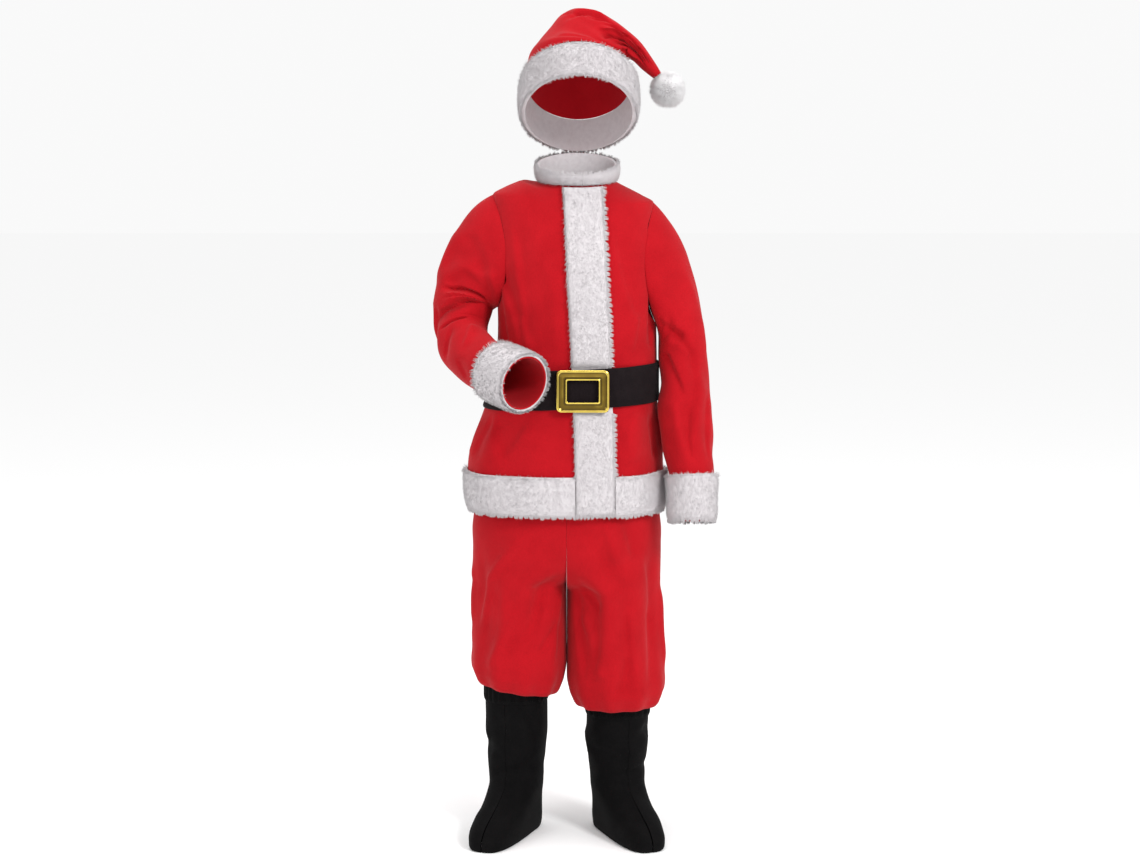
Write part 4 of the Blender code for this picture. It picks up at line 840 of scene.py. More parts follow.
LINES_LEG_RIGHT = (
    Line(-1.36, 0.500, -0.50, 0.285, 0.0105, 0.0036, 0.006),
    Line(-2.30, 0.405, -1.80, 0.255, 0.0170, -0.0052, 0.010),
    Line(-2.70, 0.385, -2.35, 0.250, 0.0110, 0.0036, 0.006),
    Line(-0.95, 0.400, -0.80, 0.245, 0.0190, -0.0036, -0.008),
    Line(-1.55, 0.355, -1.10, 0.240, 0.0140, 0.0034, 0.007),
    Line(-1.05, 0.460, -0.36, 0.300, 0.0100, -0.0026, 0.006),
    Line(-1.62, 0.275, -2.28, 0.362, 0.011, 0.0036, 0.006),
    Line(-1.95, 0.270, -2.45, 0.330, 0.009, -0.0034, 0.005),
    Line(-1.75, 0.480, -2.05, 0.400, 0.012, -0.0030, 0.005),
    Line(-1.20, 0.300, -0.95, 0.240, 0.010, 0.0024, 0.003),
    Line(-0.20, 0.420, -0.12, 0.300, 0.012, 0.0026, 0.004),
    Line(0.45, 0.480, 0.75, 0.310, 0.014, 0.0032, 0.006),
    Line(1.05, 0.470, 1.15, 0.330, 0.013, -0.0030, 0.005),
    Line(1.80, 0.430, 1.55, 0.300, 0.013, 0.0028, -0.005),
    Line(2.30, 0.410, 2.00, 0.310, 0.011, -0.0028, 0.004),
    Line(0.80, 0.300, 0.85, 0.240, 0.010, -0.0024, 0.002),
)
# On a boot cover: the turn, with the toe at -pi/2, and the height
LINES_BOOT = (
    Line(-2.45, 0.128, -1.40, 0.150, 0.006, -0.0028, 0.004),
    Line(-2.30, 0.108, -1.10, 0.122, 0.006, 0.0022, 0.004),
    Line(-2.20, 0.088, -0.90, 0.096, 0.005, -0.0026, 0.004),
    Line(-1.10, 0.165, -0.40, 0.140, 0.007, -0.0024, 0.003),
    Line(-1.57, 0.072, -1.55, 0.020, 0.006, 0.0012, 0.000),
    Line(0.40, 0.150, 1.50, 0.130, 0.007, -0.0024, 0.004),
    Line(1.00, 0.105, 2.20, 0.112, 0.006, 0.0024, 0.004),
    Line(0.80, 0.080, 2.30, 0.085, 0.006, -0.0026, 0.003),
    Line(2.60, 0.160, 3.10, 0.110, 0.008, 0.0020, 0.004),
)
# On the hat: the turn from under the fallen side, with the front at -pi/2, and the place from brim to tip
LINES_HAT = (
    Line(-2.15, 0.42, -1.90, 0.97, 0.0050, -0.0050, 0.003),
    Line(-1.95, 0.50, -1.75, 0.96, 0.0040, 0.0034, 0.002),
    Line(-1.05, 0.44, -1.10, 0.94, 0.0045, -0.0040, 0.002),
    Line(-2.45, 0.30, -2.05, 0.80, 0.0060, -0.0040, 0.004),
    Line(-1.70, 0.40, -1.55, 0.93, 0.0045, 0.0040, 0.003),
    Line(-1.35, 0.34, -1.25, 0.90, 0.0050, -0.0044, 0.003),
    Line(-0.80, 0.30, -0.95, 0.85, 0.0060, 0.0038, 0.003),
    Line(-2.60, 0.36, -2.40, 0.62, 0.0070, 0.0030, 0.003),
    Line(-2.90, 0.34, -2.20, 0.46, 0.0060, -0.0034, 0.003),
    Line(-2.20, 0.16, -1.20, 0.22, 0.0180, 0.0022, 0.004),
    Line(2.25, 0.40, 2.00, 0.95, 0.0060, -0.0044, 0.003),
    Line(1.75, 0.36, 1.60, 0.92, 0.0060, 0.0036, 0.003),
    Line(1.15, 0.32, 1.20, 0.88, 0.0065, -0.0040, 0.003),
    Line(2.70, 0.30, 2.10, 0.44, 0.0080, 0.0034, 0.004),
    Line(1.20, 0.10, 2.10, 0.20, 0.0160, -0.0026, 0.004),
)
TORSO_METRES = 0.12
SLEEVE_METRES = (0.040, 0.24)
LEG_METRES = 0.075
BOOT_METRES = 0.045
HAT_METRES = (0.060, 0.34)
STEEPER = 0.55
FOLD_DEEPER = 1.35
FOLD_WIDER = 0.9
RIPPLE = 0.0007
RIPPLE_SIZE = 0.034


def line_sum(lines, u, v, u_metres, v_metres=1.0):
    """How far the drawn folds lift the cloth: each is steeper on one side and runs out at both ends."""
    total = np.zeros(np.broadcast(u, v).shape)
    for f in lines:
        across, along = (f.u2 - f.u1) * u_metres, (f.v2 - f.v1) * v_metres
        half = math.hypot(across, along) / 2
        across, along = across / (2 * half), along / (2 * half)
        du = turned(u - (f.u1 + f.u2) / 2) * u_metres
        dv = (v - (f.v1 + f.v2) / 2) * v_metres
        run = (du * across + dv * along) / half
        aside = (dv * across - du * along - f.bow * (1 - run**2)) / (FOLD_WIDER * f.width)
        aside = aside / (1 + STEEPER * np.tanh(aside))
        total = total + FOLD_DEEPER * f.depth * np.exp(-(aside**2)) * eased((1 - np.abs(run)) / 0.5)
    return total


def lumps(points, size, seed):
    """Smooth seeded unevenness in space, from -1 to 1."""
    table = np.random.default_rng(seed).uniform(-1, 1, (32, 32, 32))
    place = points / size
    low = np.floor(place).astype(int)
    share = eased(place - low)
    total = np.zeros(points.shape[:-1])
    for corner in range(8):
        step = np.array([corner & 1, corner >> 1 & 1, corner >> 2 & 1])
        weight = np.prod(np.where(step == 1, share, 1 - share), axis=-1)
        i, j, k = np.moveaxis((low + step) % 32, -1, 0)
        total = total + weight * table[i, j, k]
    return total


# Meshes


def grid_faces(rows, columns, closed, shift=0, turned_in=False):
    i = np.arange(rows - 1)[:, None]
    j = np.arange(columns if closed else columns - 1)[None, :]
    k = (j + 1) % columns
    corners = [i * columns + j, i * columns + k, (i + 1) * columns + k, (i + 1) * columns + j]
    faces = np.stack([np.broadcast_to(c, (rows - 1, j.size)) for c in corners], axis=-1).reshape(-1, 4) + shift
    return faces[:, ::-1] if turned_in else faces


def piece(name, points, faces, finish, corners=4):
    """A mesh from its points and faces, moved to the frame's origin and carried by its one body."""
    mesh = bpy.data.meshes.new(name)
    points = np.asarray(points, float).reshape(-1, 3) - ORIGIN
    faces = np.asarray(faces, np.int32).reshape(-1, corners)
    mesh.vertices.add(len(points))
    mesh.vertices.foreach_set("co", points.ravel())
    mesh.loops.add(faces.size)
    mesh.loops.foreach_set("vertex_index", faces.ravel())
    mesh.polygons.add(len(faces))
    mesh.polygons.foreach_set("loop_start", np.arange(0, faces.size, corners, dtype=np.int32))
    mesh.update(calc_edges=True)
    mesh.validate()
    mesh.shade_smooth()
    mesh.materials.append(finish)
    item = bpy.data.objects.new(name, mesh)
    bpy.context.scene.collection.objects.link(item)
    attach(item, "root")
    return item


def turn_faces_out(mesh):
    shape = bmesh.new()
    shape.from_mesh(mesh)
    bmesh.ops.recalc_face_normals(shape, faces=shape.faces)
    if shape.calc_volume(signed=True) < 0:
        bmesh.ops.reverse_faces(shape, faces=shape.faces)
    shape.to_mesh(mesh)
    shape.free()


def wall(name, outer, inner, finish, closed=False):
    """A closed wall between two grids of points, with its faces turned outward and its rims sharp."""
    rows, columns = outer.shape[:2]
    shift = rows * columns
    faces = [grid_faces(rows, columns, closed), grid_faces(rows, columns, closed, shift, True)]
    first = np.arange(columns if closed else columns - 1)
    second = (first + 1) % columns
    for edge in (0, (rows - 1) * columns):
        faces.append(np.stack([first, second, second + shift, first + shift], axis=-1) + edge)
    if not closed:
        first = np.arange(rows - 1) * columns
        for edge in (0, columns - 1):
            faces.append(np.stack([first, first + columns, first + columns + shift, first + shift], axis=-1) + edge)
    points = np.concatenate([outer.reshape(-1, 3), inner.reshape(-1, 3)])
    item = piece(name, points, np.concatenate(faces), finish)
    turn_faces_out(item.data)
    item.data.set_sharp_from_angle(angle=math.radians(60))
    return item


def shell(name, surface, u, v, finish, side=1, closed=False, thick=CLOTH, detail=None):
    """Cloth on a surface, with the folds and unevenness of detail."""
    outer = surface(u, v)
    normal = outward(surface, u, v, side)
    if detail is not None:
        outer = outer + detail(u, v, outer)[..., None] * normal
    return wall(name, outer, outer - thick * normal, finish, closed)


# Materials


def finish_base(name, roughness, metallic=0.0):
    made = bpy.data.materials.new(name)
    made.use_nodes = True
    shader = made.node_tree.nodes["Principled BSDF"]
    shader.inputs["Roughness"].default_value = roughness
    shader.inputs["Metallic"].default_value = metallic
    return made, made.node_tree, shader


def noise(tree, scale, detail=2.0, roughness=0.5, stretch=(1, 1, 1)):
    """Noise over the object in metres, scale cells to a metre, stretched along the axes."""
    place = tree.nodes.new("ShaderNodeTexCoord")
    mapping = tree.nodes.new("ShaderNodeMapping")
    mapping.inputs["Scale"].default_value = stretch
    texture = tree.nodes.new("ShaderNodeTexNoise")
    texture.inputs["Scale"].default_value = scale
    texture.inputs["Detail"].default_value = detail
    texture.inputs["Roughness"].default_value = roughness
    tree.links.new(place.outputs["Object"], mapping.inputs["Vector"])
    tree.links.new(mapping.outputs["Vector"], texture.inputs["Vector"])
    return texture.outputs["Fac"]


def ramp(tree, value, stops):
    """Colours over a value from 0 to 1."""
    made = tree.nodes.new("ShaderNodeValToRGB")
    for k, (at, colour) in enumerate(stops):
        stop = made.color_ramp.elements[k] if k < 2 else made.color_ramp.elements.new(at)
        stop.position = at
        stop.color = (*colour, 1.0)
    tree.links.new(value, made.inputs["Fac"])
    return made.outputs["Color"]


def math_node(tree, kind, a, b):
    made = tree.nodes.new("ShaderNodeMath")
    made.operation = kind
    for socket, value in zip(made.inputs, (a, b)):
        if isinstance(value, (int, float)):
            socket.default_value = value
        else:
            tree.links.new(value, socket)
    return made.outputs[0]


def mixed(tree, share, a, b):
    """Two colours multiplied together."""
    made = tree.nodes.new("ShaderNodeMix")
    made.data_type = "RGBA"
    made.blend_type = "MULTIPLY"
    made.inputs["Factor"].default_value = share
    tree.links.new(a, made.inputs["A"])
    tree.links.new(b, made.inputs["B"])
    return made.outputs["Result"]


def bump(tree, shader, height, distance, strength=1.0):
    made = tree.nodes.new("ShaderNodeBump")
    made.inputs["Distance"].default_value = distance
    made.inputs["Strength"].default_value = strength
    tree.links.new(height, made.inputs["Height"])
    tree.links.new(made.outputs["Normal"], shader.inputs["Normal"])


def fleece():
    """Brushed red fleece: a fine nap that catches light at its edges, slightly mottled, with painted shade in the
    hollows of its nap.
    """
    made, tree, shader = finish_base("red_fleece_brushed", 0.92)
    broad = ramp(tree, noise(tree, 26, 3.0), ((0.25, RED_DEEP), (0.75, RED_BRIGHT)))
    nap = noise(tree, 1100, 4.0, 0.65, (1.0, 1.0, 0.55))
    # Painted shade: the nap's colour darkens where its bump is low
    painted_nap_shade = ramp(tree, nap, ((0.30, (0.76, 0.74, 0.74)), (0.66, (1.0, 1.0, 1.0))))
    tree.links.new(mixed(tree, 1.0, broad, painted_nap_shade), shader.inputs["Base Color"])
    relief = math_node(tree, "ADD", nap, math_node(tree, "MULTIPLY", noise(tree, 240, 3.0), 0.6))
    bump(tree, shader, relief, 0.0006, 0.55)
    shader.inputs["Sheen Weight"].default_value = 0.13
    shader.inputs["Sheen Roughness"].default_value = 0.45
    shader.inputs["Sheen Tint"].default_value = (1.0, 0.42, 0.42, 1.0)
    shader.inputs["Specular IOR Level"].default_value = 0.12
    return made


def plush():
    """The dense white ground of the plush, between its strands."""
    made, tree, shader = finish_base("white_plush_ground", 0.95)
    tone = ramp(tree, noise(tree, 160, 4.0, 0.6), ((0.30, WHITE_DEEP), (0.62, WHITE_BRIGHT)))
    tree.links.new(tone, shader.inputs["Base Color"])
    bump(tree, shader, noise(tree, 900, 3.0, 0.6, (1.0, 1.0, 0.4)), 0.0005, 0.5)
    shader.inputs["Sheen Weight"].default_value = 0.3
    shader.inputs["Specular IOR Level"].default_value = 0.2
    return made


def strands_white(name, deep, bright):
    """White pile between two tones."""
    made, tree, shader = finish_base(name, 0.75)
    tone = ramp(tree, noise(tree, 420, 3.0, 0.6), ((0.30, deep), (0.60, bright)))
    tree.links.new(tone, shader.inputs["Base Color"])
    shader.inputs["Sheen Weight"].default_value = 0.3
    shader.inputs["Specular IOR Level"].default_value = 0.25
    return made


def woven(name, deep, bright, cells, roughness, sheen):
    """Plain woven cloth: threads crossing in the bump, with painted shade in the hollows between them."""
    made, tree, shader = finish_base(name, roughness)
    across = noise(tree, cells, 1.0, 0.5, (1.0, 1.0, 0.12))
    along = noise(tree, cells, 1.0, 0.5, (0.12, 0.12, 1.0))
    threads = math_node(tree, "ADD", across, along)
    broad = ramp(tree, noise(tree, 45, 4.0), ((0.30, deep), (0.72, bright)))
    # Painted shade: the colour darkens where the threads' bump is low
    depth = math_node(tree, "MULTIPLY", threads, 0.5)
    shade = ramp(tree, depth, ((0.36, (0.72, 0.72, 0.72)), (0.62, (1.0, 1.0, 1.0))))
    tree.links.new(mixed(tree, 1.0, broad, shade), shader.inputs["Base Color"])
    bump(tree, shader, threads, 0.0005, 0.6)
    shader.inputs["Sheen Weight"].default_value = sheen
    shader.inputs["Sheen Roughness"].default_value = 0.5
    shader.inputs["Specular IOR Level"].default_value = 0.06
    return made


def gilt():
    """Gold-coloured plating on moulded plastic: bright, with slight waves and fine rubbing, and painted highlights
    and painted shade ring by ring.
    """
    made, tree, shader = finish_base("gold_plating", 0.16, 1.0)
    # Painted light: each ring carries a painted highlight or painted shade, mixed with slight random tone
    worn = tree.nodes.new("ShaderNodeAttribute")
    worn.attribute_name = "worn"
    shade = math_node(tree, "ADD", worn.outputs["Fac"], math_node(tree, "MULTIPLY", noise(tree, 60, 3.0), 0.3))
    tone = ramp(tree, shade, ((0.20, (0.040, 0.022, 0.001)), (0.62, (0.20, 0.125, 0.008)), (1.0, (0.86, 0.66, 0.12))))
    tree.links.new(tone, shader.inputs["Base Color"])
    grain = noise(tree, 500, 3.0, 0.6, (1.0, 1.0, 0.2))
    rub = ramp(tree, grain, ((0.35, (0.10, 0.10, 0.10)), (0.75, (0.26, 0.26, 0.26))))
    tree.links.new(rub, shader.inputs["Roughness"])
    bump(tree, shader, noise(tree, 90, 2.0), 0.0008, 0.25)
    shader.inputs["Coat Weight"].default_value = 0.4
    shader.inputs["Coat Roughness"].default_value = 0.08
    return made


def thread(name, colour):
    """Sewing thread, slightly lighter along its twist."""
    made, tree, shader = finish_base(name, 0.8)
    tone = ramp(tree, noise(tree, 2600, 1.0), ((0.3, tuple(0.7 * c for c in colour)), (0.7, colour)))
    tree.links.new(tone, shader.inputs["Base Color"])
    shader.inputs["Sheen Weight"].default_value = 0.02
    shader.inputs["Specular IOR Level"].default_value = 0.1
    return made


RED_DEEP = (0.385, 0.003, 0.008)
RED_BRIGHT = (0.455, 0.005, 0.011)
WHITE_DEEP = (0.53, 0.497, 0.513)
WHITE_BRIGHT = (0.585, 0.557, 0.57)
RED = fleece()
GROUND = plush()
STRANDS = strands_white("white_plush_strands", (0.54, 0.505, 0.522), (0.595, 0.565, 0.578))
# Painted light: the pompom's strands are a much lighter copy of the white plush, making up for the shade among its
# dense strands
LIGHTENED_POMPOM_STRANDS = strands_white("white_pompom_strands_lightened", (0.86, 0.84, 0.85), (0.93, 0.92, 0.925))
BELT_CLOTH = woven("belt_weave", (0.008, 0.005, 0.006), (0.012, 0.008, 0.009), 1500, 0.85, 0.030)
BOOT_BLACK = woven("boot_weave", (0.0024, 0.0022, 0.0024), (0.0044, 0.0040, 0.0042), 1200, 0.80, 0.009)
GOLD = gilt()
BLACK_THREAD = thread("black_thread", (0.006, 0.006, 0.006))


# Jacket


# How far the folds stay off each trim of the jacket, and the way over which they fade in
HEM_CLEAR = 0.004
HEM_FADE = 0.022
BELT_CLEAR = 0.002
BELT_FADE = 0.016
PLACKET_CLEAR = 0.002
PLACKET_FADE = 0.02
NECK_CLEAR = 0.012
NECK_FADE = 0.02


def jacket_detail(turn, height, points):
    """The folds of the jacket's body, left out under what is sewn or strapped on it."""
    over_hem = eased((height - HEM_TOP - HEM_CLEAR) / HEM_FADE)
    belt_off = np.abs(height - belt_middle(points[..., 0]))
    off_belt = eased((belt_off - BELT_HEIGHT / 2 - BELT_CLEAR) / BELT_FADE)
    off_placket = np.abs(points[..., 0] - by_height(CLOSURE, "x", height)) - PLACKET_HALF - PLACKET_CLEAR
    off_placket = np.where(points[..., 1] < 0, eased(off_placket / PLACKET_FADE), 1.0)
    off_neck = eased((NECK_HEIGHT - NECK_CLEAR - height) / NECK_FADE)
    fold = line_sum(JACKET_LINES, turn, height, TORSO_METRES) + RIPPLE * lumps(points, RIPPLE_SIZE, 3)
    return fold * over_hem * off_belt * off_placket * off_neck


def fine_rows(side):
    """Heights of the body's rows on one side, and how far the armhole cuts into each."""
    armpit = float(armpit_height(side))
    low = np.linspace(HEM_BOTTOM, armpit, JACKET_ROWS_LOW)
    phi = np.linspace(0, math.pi, JACKET_ROWS_ARMHOLE + 1)[1:]
    high = np.linspace(SHOULDER_HEIGHT, NECK_HEIGHT, JACKET_ROWS_SHOULDER + 1)[1:]
    heights = np.concatenate([low, armhole_height(side, phi), high])
    cuts = np.concatenate([0 * low, ARMHOLE_TURN * np.sin(phi), 0 * high])
    return heights, cuts


JACKET_ROWS_LOW = 70
JACKET_ROWS_ARMHOLE = 48
JACKET_ROWS_SHOULDER = 14
JACKET_COLUMNS_FRONT = 44
JACKET_COLUMNS_BACK = 76


def make_jacket():
    left, cuts = fine_rows(1)
    right, _ = fine_rows(-1)
    slack = SEAM / 2 / by_height(TORSO, "half_width", left)
    middle = (left + right) / 2
    panels = (
        ("jacket_front_left", middle, closure_turn(middle) + slack, left, -cuts - slack, JACKET_COLUMNS_FRONT),
        (
            "jacket_front_right", right, -math.pi + cuts + slack, middle, closure_turn(middle) - slack,
            JACKET_COLUMNS_FRONT,
        ),
        ("jacket_back", left, cuts + slack, right, math.pi - cuts - slack, JACKET_COLUMNS_BACK),
    )
    for name, start_height, start, end_height, end, columns in panels:
        turn, height = spread(start, end, columns), spread(start_height, end_height, columns)
        cloth = shell(f"{name}_cloth", torso, turn, height, RED, detail=jacket_detail)
        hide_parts(name)


# Plush: a band of ground with strands on it


def strands(name, top, side, roots, comb, length, seed, width=0.00030, tuft=0.0042, gather=0.0, wild=0.3,
            finish=None):
    """Tapered strands standing on a surface: roots holds their places, comb their lean along its two ways.

    They gather in tufts, each with a lean of its own, so that the pile parts a little between them.
    """
    rng = np.random.default_rng(seed)
    u, v = roots
    base = top(u, v)
    normal = outward(top, u, v, side)
    step = 1e-4
    way_u = top(u + step, v) - top(u - step, v)
    way_v = top(u, v + step) - top(u, v - step)
    size_u = np.linalg.norm(way_u, axis=-1, keepdims=True) / (2 * step)
    size_v = np.linalg.norm(way_v, axis=-1, keepdims=True) / (2 * step)
    way_u, way_v = way_u / (2 * step * size_u), way_v / (2 * step * size_v)
    metres_u, metres_v = u * size_u.mean(), v * size_v.mean()
    cell_u, cell_v = np.floor(metres_u / tuft).astype(int), np.floor(metres_v / tuft).astype(int)
    table = rng.uniform(-1, 1, (64, 64, 5))
    own = table[cell_u % 64, cell_v % 64]
    to_middle_u = (cell_u + 0.5 + 0.35 * own[:, 0]) * tuft - metres_u
    to_middle_v = (cell_v + 0.5 + 0.35 * own[:, 1]) * tuft - metres_v
    count = len(u)
    lean_u = comb[0] + 0.15 * wild * own[:, 2] + 0.15 * rng.normal(size=count)
    lean_v = comb[1] + 0.15 * wild * own[:, 3] + 0.15 * rng.normal(size=count)
    direction = normal + lean_u[:, None] * way_u + lean_v[:, None] * way_v
    direction /= np.linalg.norm(direction, axis=1, keepdims=True)
    reach = length * (1 + 0.15 * wild * own[:, 4] + 0.10 * rng.normal(size=count))
    tip = base + direction * np.clip(reach, 0.3 * length, 1.5 * length)[:, None]
    tip = tip + gather * (to_middle_u[:, None] * way_u + to_middle_v[:, None] * way_v)
    base = base - 0.0006 * normal
    along = tip - base
    along /= np.linalg.norm(along, axis=1, keepdims=True)
    first = np.cross(along, np.where(np.abs(along[:, 2:]) < 0.9, [[0.0, 0.0, 1.0]], [[1.0, 0.0, 0.0]]))
    first /= np.linalg.norm(first, axis=1, keepdims=True)
    second = np.cross(along, first)
    spin = rng.uniform(0, 2 * math.pi, count)
    corners, facing = [], []
    for k in range(3):
        angle = (spin + 2 * math.pi * k / 3)[:, None]
        way = np.cos(angle) * first + np.sin(angle) * second
        corners.append(base + width * way)
        facing.append(normal + STRAND_ROUND * way)
    facing.append(normal + STRAND_ROUND * along)
    points = np.stack([*corners, tip], axis=1)
    faces = np.array([(0, 1, 3), (1, 2, 3), (2, 0, 3), (0, 2, 1)])[None] + 4 * np.arange(count)[:, None, None]
    item = piece(name, points, faces, finish or STRANDS, corners=3)
    facing = np.stack(facing, axis=1).reshape(-1, 3)
    facing /= np.linalg.norm(facing, axis=1, keepdims=True)
    item.data.normals_split_custom_set_from_vertices(facing)
    return item


def scattered(count, seed, u_range=(0.0, 1.0), v_range=(0.0, 1.0)):
    rng = np.random.default_rng(seed)
    return rng.uniform(*u_range, count), rng.uniform(*v_range, count)


def outside(v, bare):
    """Where v lies outside the bare stretch, if there is one."""
    return np.ones(len(v), bool) if bare is None else (v < bare[0]) | (v > bare[1])


def plush_band(name, node, base, side, high, low, counts, rows, columns, closed, seed, comb,
               edges=(), length=0.0038, bare=None):
    """A band of plush over a surface: the ground as a wall, and its strands as a piece that goes with it."""

    def top(u, v):
        normal = outward(base, u, v, side)
        place = base(u, v)
        relief = GROUND_LUMP * lumps(place, GROUND_LUMP_SIZE, seed)
        relief = relief + GROUND_GRAIN * lumps(place, GROUND_GRAIN_SIZE, seed + 1)
        return place + (high(u, v) + relief)[..., None] * normal

    u = np.linspace(0, 1, columns + 1)[None, :] + np.zeros((rows + 1, 1))
    u = u[:, :-1] if closed else u
    share = (1 - np.cos(np.linspace(0, math.pi, rows + 1))) / 2
    v = share[:, None] + 0 * u
    under = base(u, v) + np.broadcast_to(low(u, v), u.shape)[..., None] * outward(base, u, v, side)
    ground = wall(f"{name}_ground", top(u, v), under, GROUND, closed)
    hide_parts(node)

    def kept(u, v):
        """Leaves out the places in the bare stretch."""
        return u[outside(v, bare)], v[outside(v, bare)]

    roots = kept(*scattered(counts, seed))
    counts = len(roots[0])
    leans = (np.full(counts, comb[0]), np.full(counts, comb[1]))
    pile = strands(f"{name}_strands", top, side, roots, leans, length, seed + 9)
    parts = []
    for k, edge in enumerate(edges):
        eu, ev = kept(*scattered(edge.count, seed + 50 + k, edge.u, edge.v))
        parts.append((eu, ev, np.full(len(eu), edge.lean_u), np.full(len(eu), edge.lean_v)))
    eu, ev, lean_u, lean_v = (np.concatenate(column_of) for column_of in zip(*parts))
    fringe = strands(
        f"{name}_fringe", top, side, (eu, ev), (lean_u, lean_v), FRINGE_LONGER * length, seed + 10,
        width=FRINGE_WIDTH, tuft=FRINGE_TUFT, gather=FRINGE_GATHER, wild=1.2,
    )
    return ground


GROUND_LUMP = 0.0003
GROUND_LUMP_SIZE = 0.012
GROUND_GRAIN = 0.0001
GROUND_GRAIN_SIZE = 0.004
STRAND_ROUND = 0.20
FRINGE_LONGER = 1.55
FRINGE_TUFT = 0.0075
FRINGE_WIDTH = 0.00045
FRINGE_GATHER = 0.50
Edge = namedtuple("Edge", "count u v lean_u lean_v")


def placket_place(u, v):
    height = HEM_BOTTOM + v * (PLACKET_TOP - HEM_BOTTOM)
    return torso(closure_turn(height, (2 * u - 1) * PLACKET_HALF), height)


def placket_high(u, v):
    height = HEM_BOTTOM + v * (PLACKET_TOP - HEM_BOTTOM)
    belt_share = np.abs(height - belt_middle(by_height(CLOSURE, "x", height))) / (BELT_HEIGHT / 2)
    free = eased((belt_share - 1.0) / 0.35)
    high = rounded(u, 0.0026, 0.0058, 0.16) * rounded(v, 0.6, 1.0, 0.02)
    return 0.0016 + (high - 0.0016) * free


PLACKET_UNDER_BELT = (0.312, 0.452)


def make_placket():
    plush_band(
        "placket_plush", "placket_fur", placket_place, 1, placket_high, lambda u, v: CLEAR + 0 * u,
        11000, 130, 20, False, 11, (0.25, -1.0),
        edges=(
            Edge(4600, (0.94, 1.0), (0.0, 1.0), 1.4, -0.7),
            Edge(900, (0.0, 0.03), (0.0, 1.0), -0.1, -0.9),
            Edge(700, (0.0, 1.0), (0.0, 0.015), 0.1, -1.6),
        ),
        length=0.0036, bare=PLACKET_UNDER_BELT,
    )


def hem_place(u, v):
    height = HEM_BOTTOM + v * (HEM_TOP - HEM_BOTTOM)
    edge = PLACKET_HALF + SEAM
    start, end = closure_turn(height, edge), 2 * math.pi + closure_turn(height, -edge)
    return torso(start + u * (end - start), height)


def make_hem():
    plush_band(
        "hem_plush", "hem_fur", hem_place, 1,
        lambda u, v: rounded(v, 0.0028, 0.0068, 0.3), lambda u, v: CLEAR + 0 * u,
        16500, 20, 220, False, 23, (0.12, -1.0),
        edges=(
            Edge(7600, (0.0, 1.0), (0.0, 0.06), 0.1, -1.9),
            Edge(900, (0.0, 1.0), (0.96, 1.0), 0.1, -0.8),
        ),
    )


def collar_place(u, v):
    start = float(closure_turn(np.array([NECK_HEIGHT]))[0]) + COLLAR_GAP
    return collar(start + u * (2 * math.pi - 2 * COLLAR_GAP), v)


def collar_bulge(v):
    """How far the collar's faces bulge at a share of its height, from 0 at its edges to 1 at the middle."""
    return np.sqrt(np.clip(1 - (2 * v - 1) ** 2, 0, 1))


def make_collar():
    plush_band(
        "collar_plush", "collar_fur", collar_place, 1,
        lambda u, v: COLLAR_EDGE_OUT + COLLAR_BULGE_OUT * collar_bulge(v),
        lambda u, v: -COLLAR_EDGE_IN - COLLAR_BULGE_IN * collar_bulge(v),
        7000, 14, 120, False, 31, (0.25, 0.5),
        edges=(Edge(2000, (0.0, 1.0), (0.9, 1.0), 0.1, 0.9),), length=0.0034,
    )


# Sleeves and cuffs


def sleeve_detail(sleeve, lines, start, seed):
    def detail(phi, v, points):
        calm = eased((v - 0.03) / 0.15) * eased((start - 0.01 - v) / 0.08)
        fold = line_sum(lines, phi, v, *SLEEVE_METRES) + 1.2 * RIPPLE * lumps(points, RIPPLE_SIZE, seed)
        return fold * calm

    return detail


def make_sleeve(name, side, rows, creases, lines, seed):
    sleeve = Sleeve(side, rows, creases)
    start = wrist_start(sleeve)
    phi = np.linspace(0, 2 * math.pi, SLEEVE_COLUMNS + 1)[:-1][None, :]
    places = np.concatenate([np.linspace(0, 1, SLEEVE_ROWS_HEAD)[:-1], np.linspace(1, 2, SLEEVE_ROWS_TUBE)])
    v = places[:, None] + 0 * phi
    detail = sleeve_detail(sleeve, lines, start, seed)
    cloth = shell(f"sleeve_{name}_cloth", sleeve, phi + 0 * v, v, RED, -side, True, detail=detail)
    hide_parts(f"sleeve_{name}")

    def cuff_place(u, w):
        return sleeve(2 * math.pi * u, start + w * (2.0 - start))

    plush_band(
        f"cuff_plush_{name}", f"cuff_fur_{name}", cuff_place, -side, lambda u, w: rounded(w, 0.0028, 0.0066, 0.25),
        lambda u, w: SEWN + 0 * u, 6800, 18, 76, True, seed + 40, (0.10, 0.9),
        edges=(Edge(2800, (0.0, 1.0), (0.93, 1.0), 0.1, 1.7), Edge(500, (0.0, 1.0), (0.0, 0.05), 0.1, -0.3)),
    )


SLEEVE_COLUMNS = 88
SLEEVE_ROWS_HEAD = 52
SLEEVE_ROWS_TUBE = 92


# Belt


def belt_place(turn, share):
    """The strap with its rounded edges, and fine upright ribs where the buckle gathers it."""
    base = belt(turn, share)
    normal = outward(belt, turn, share)
    off = np.abs(base[..., 0] - BUCKLE_X)
    front = base[..., 1] < 0
    ribs = 0.0004 * np.sin(base[..., 0] / 0.0011) * (1 - eased((off - 0.020) / 0.004)) * front
    near = (1 - eased((off - 0.055) / 0.03)) * eased((off - 0.03) / 0.02)
    pucker = 0.0007 * np.sin(9 * share + 40 * turn) * near * front
    return base + (ribs + pucker)[..., None] * normal


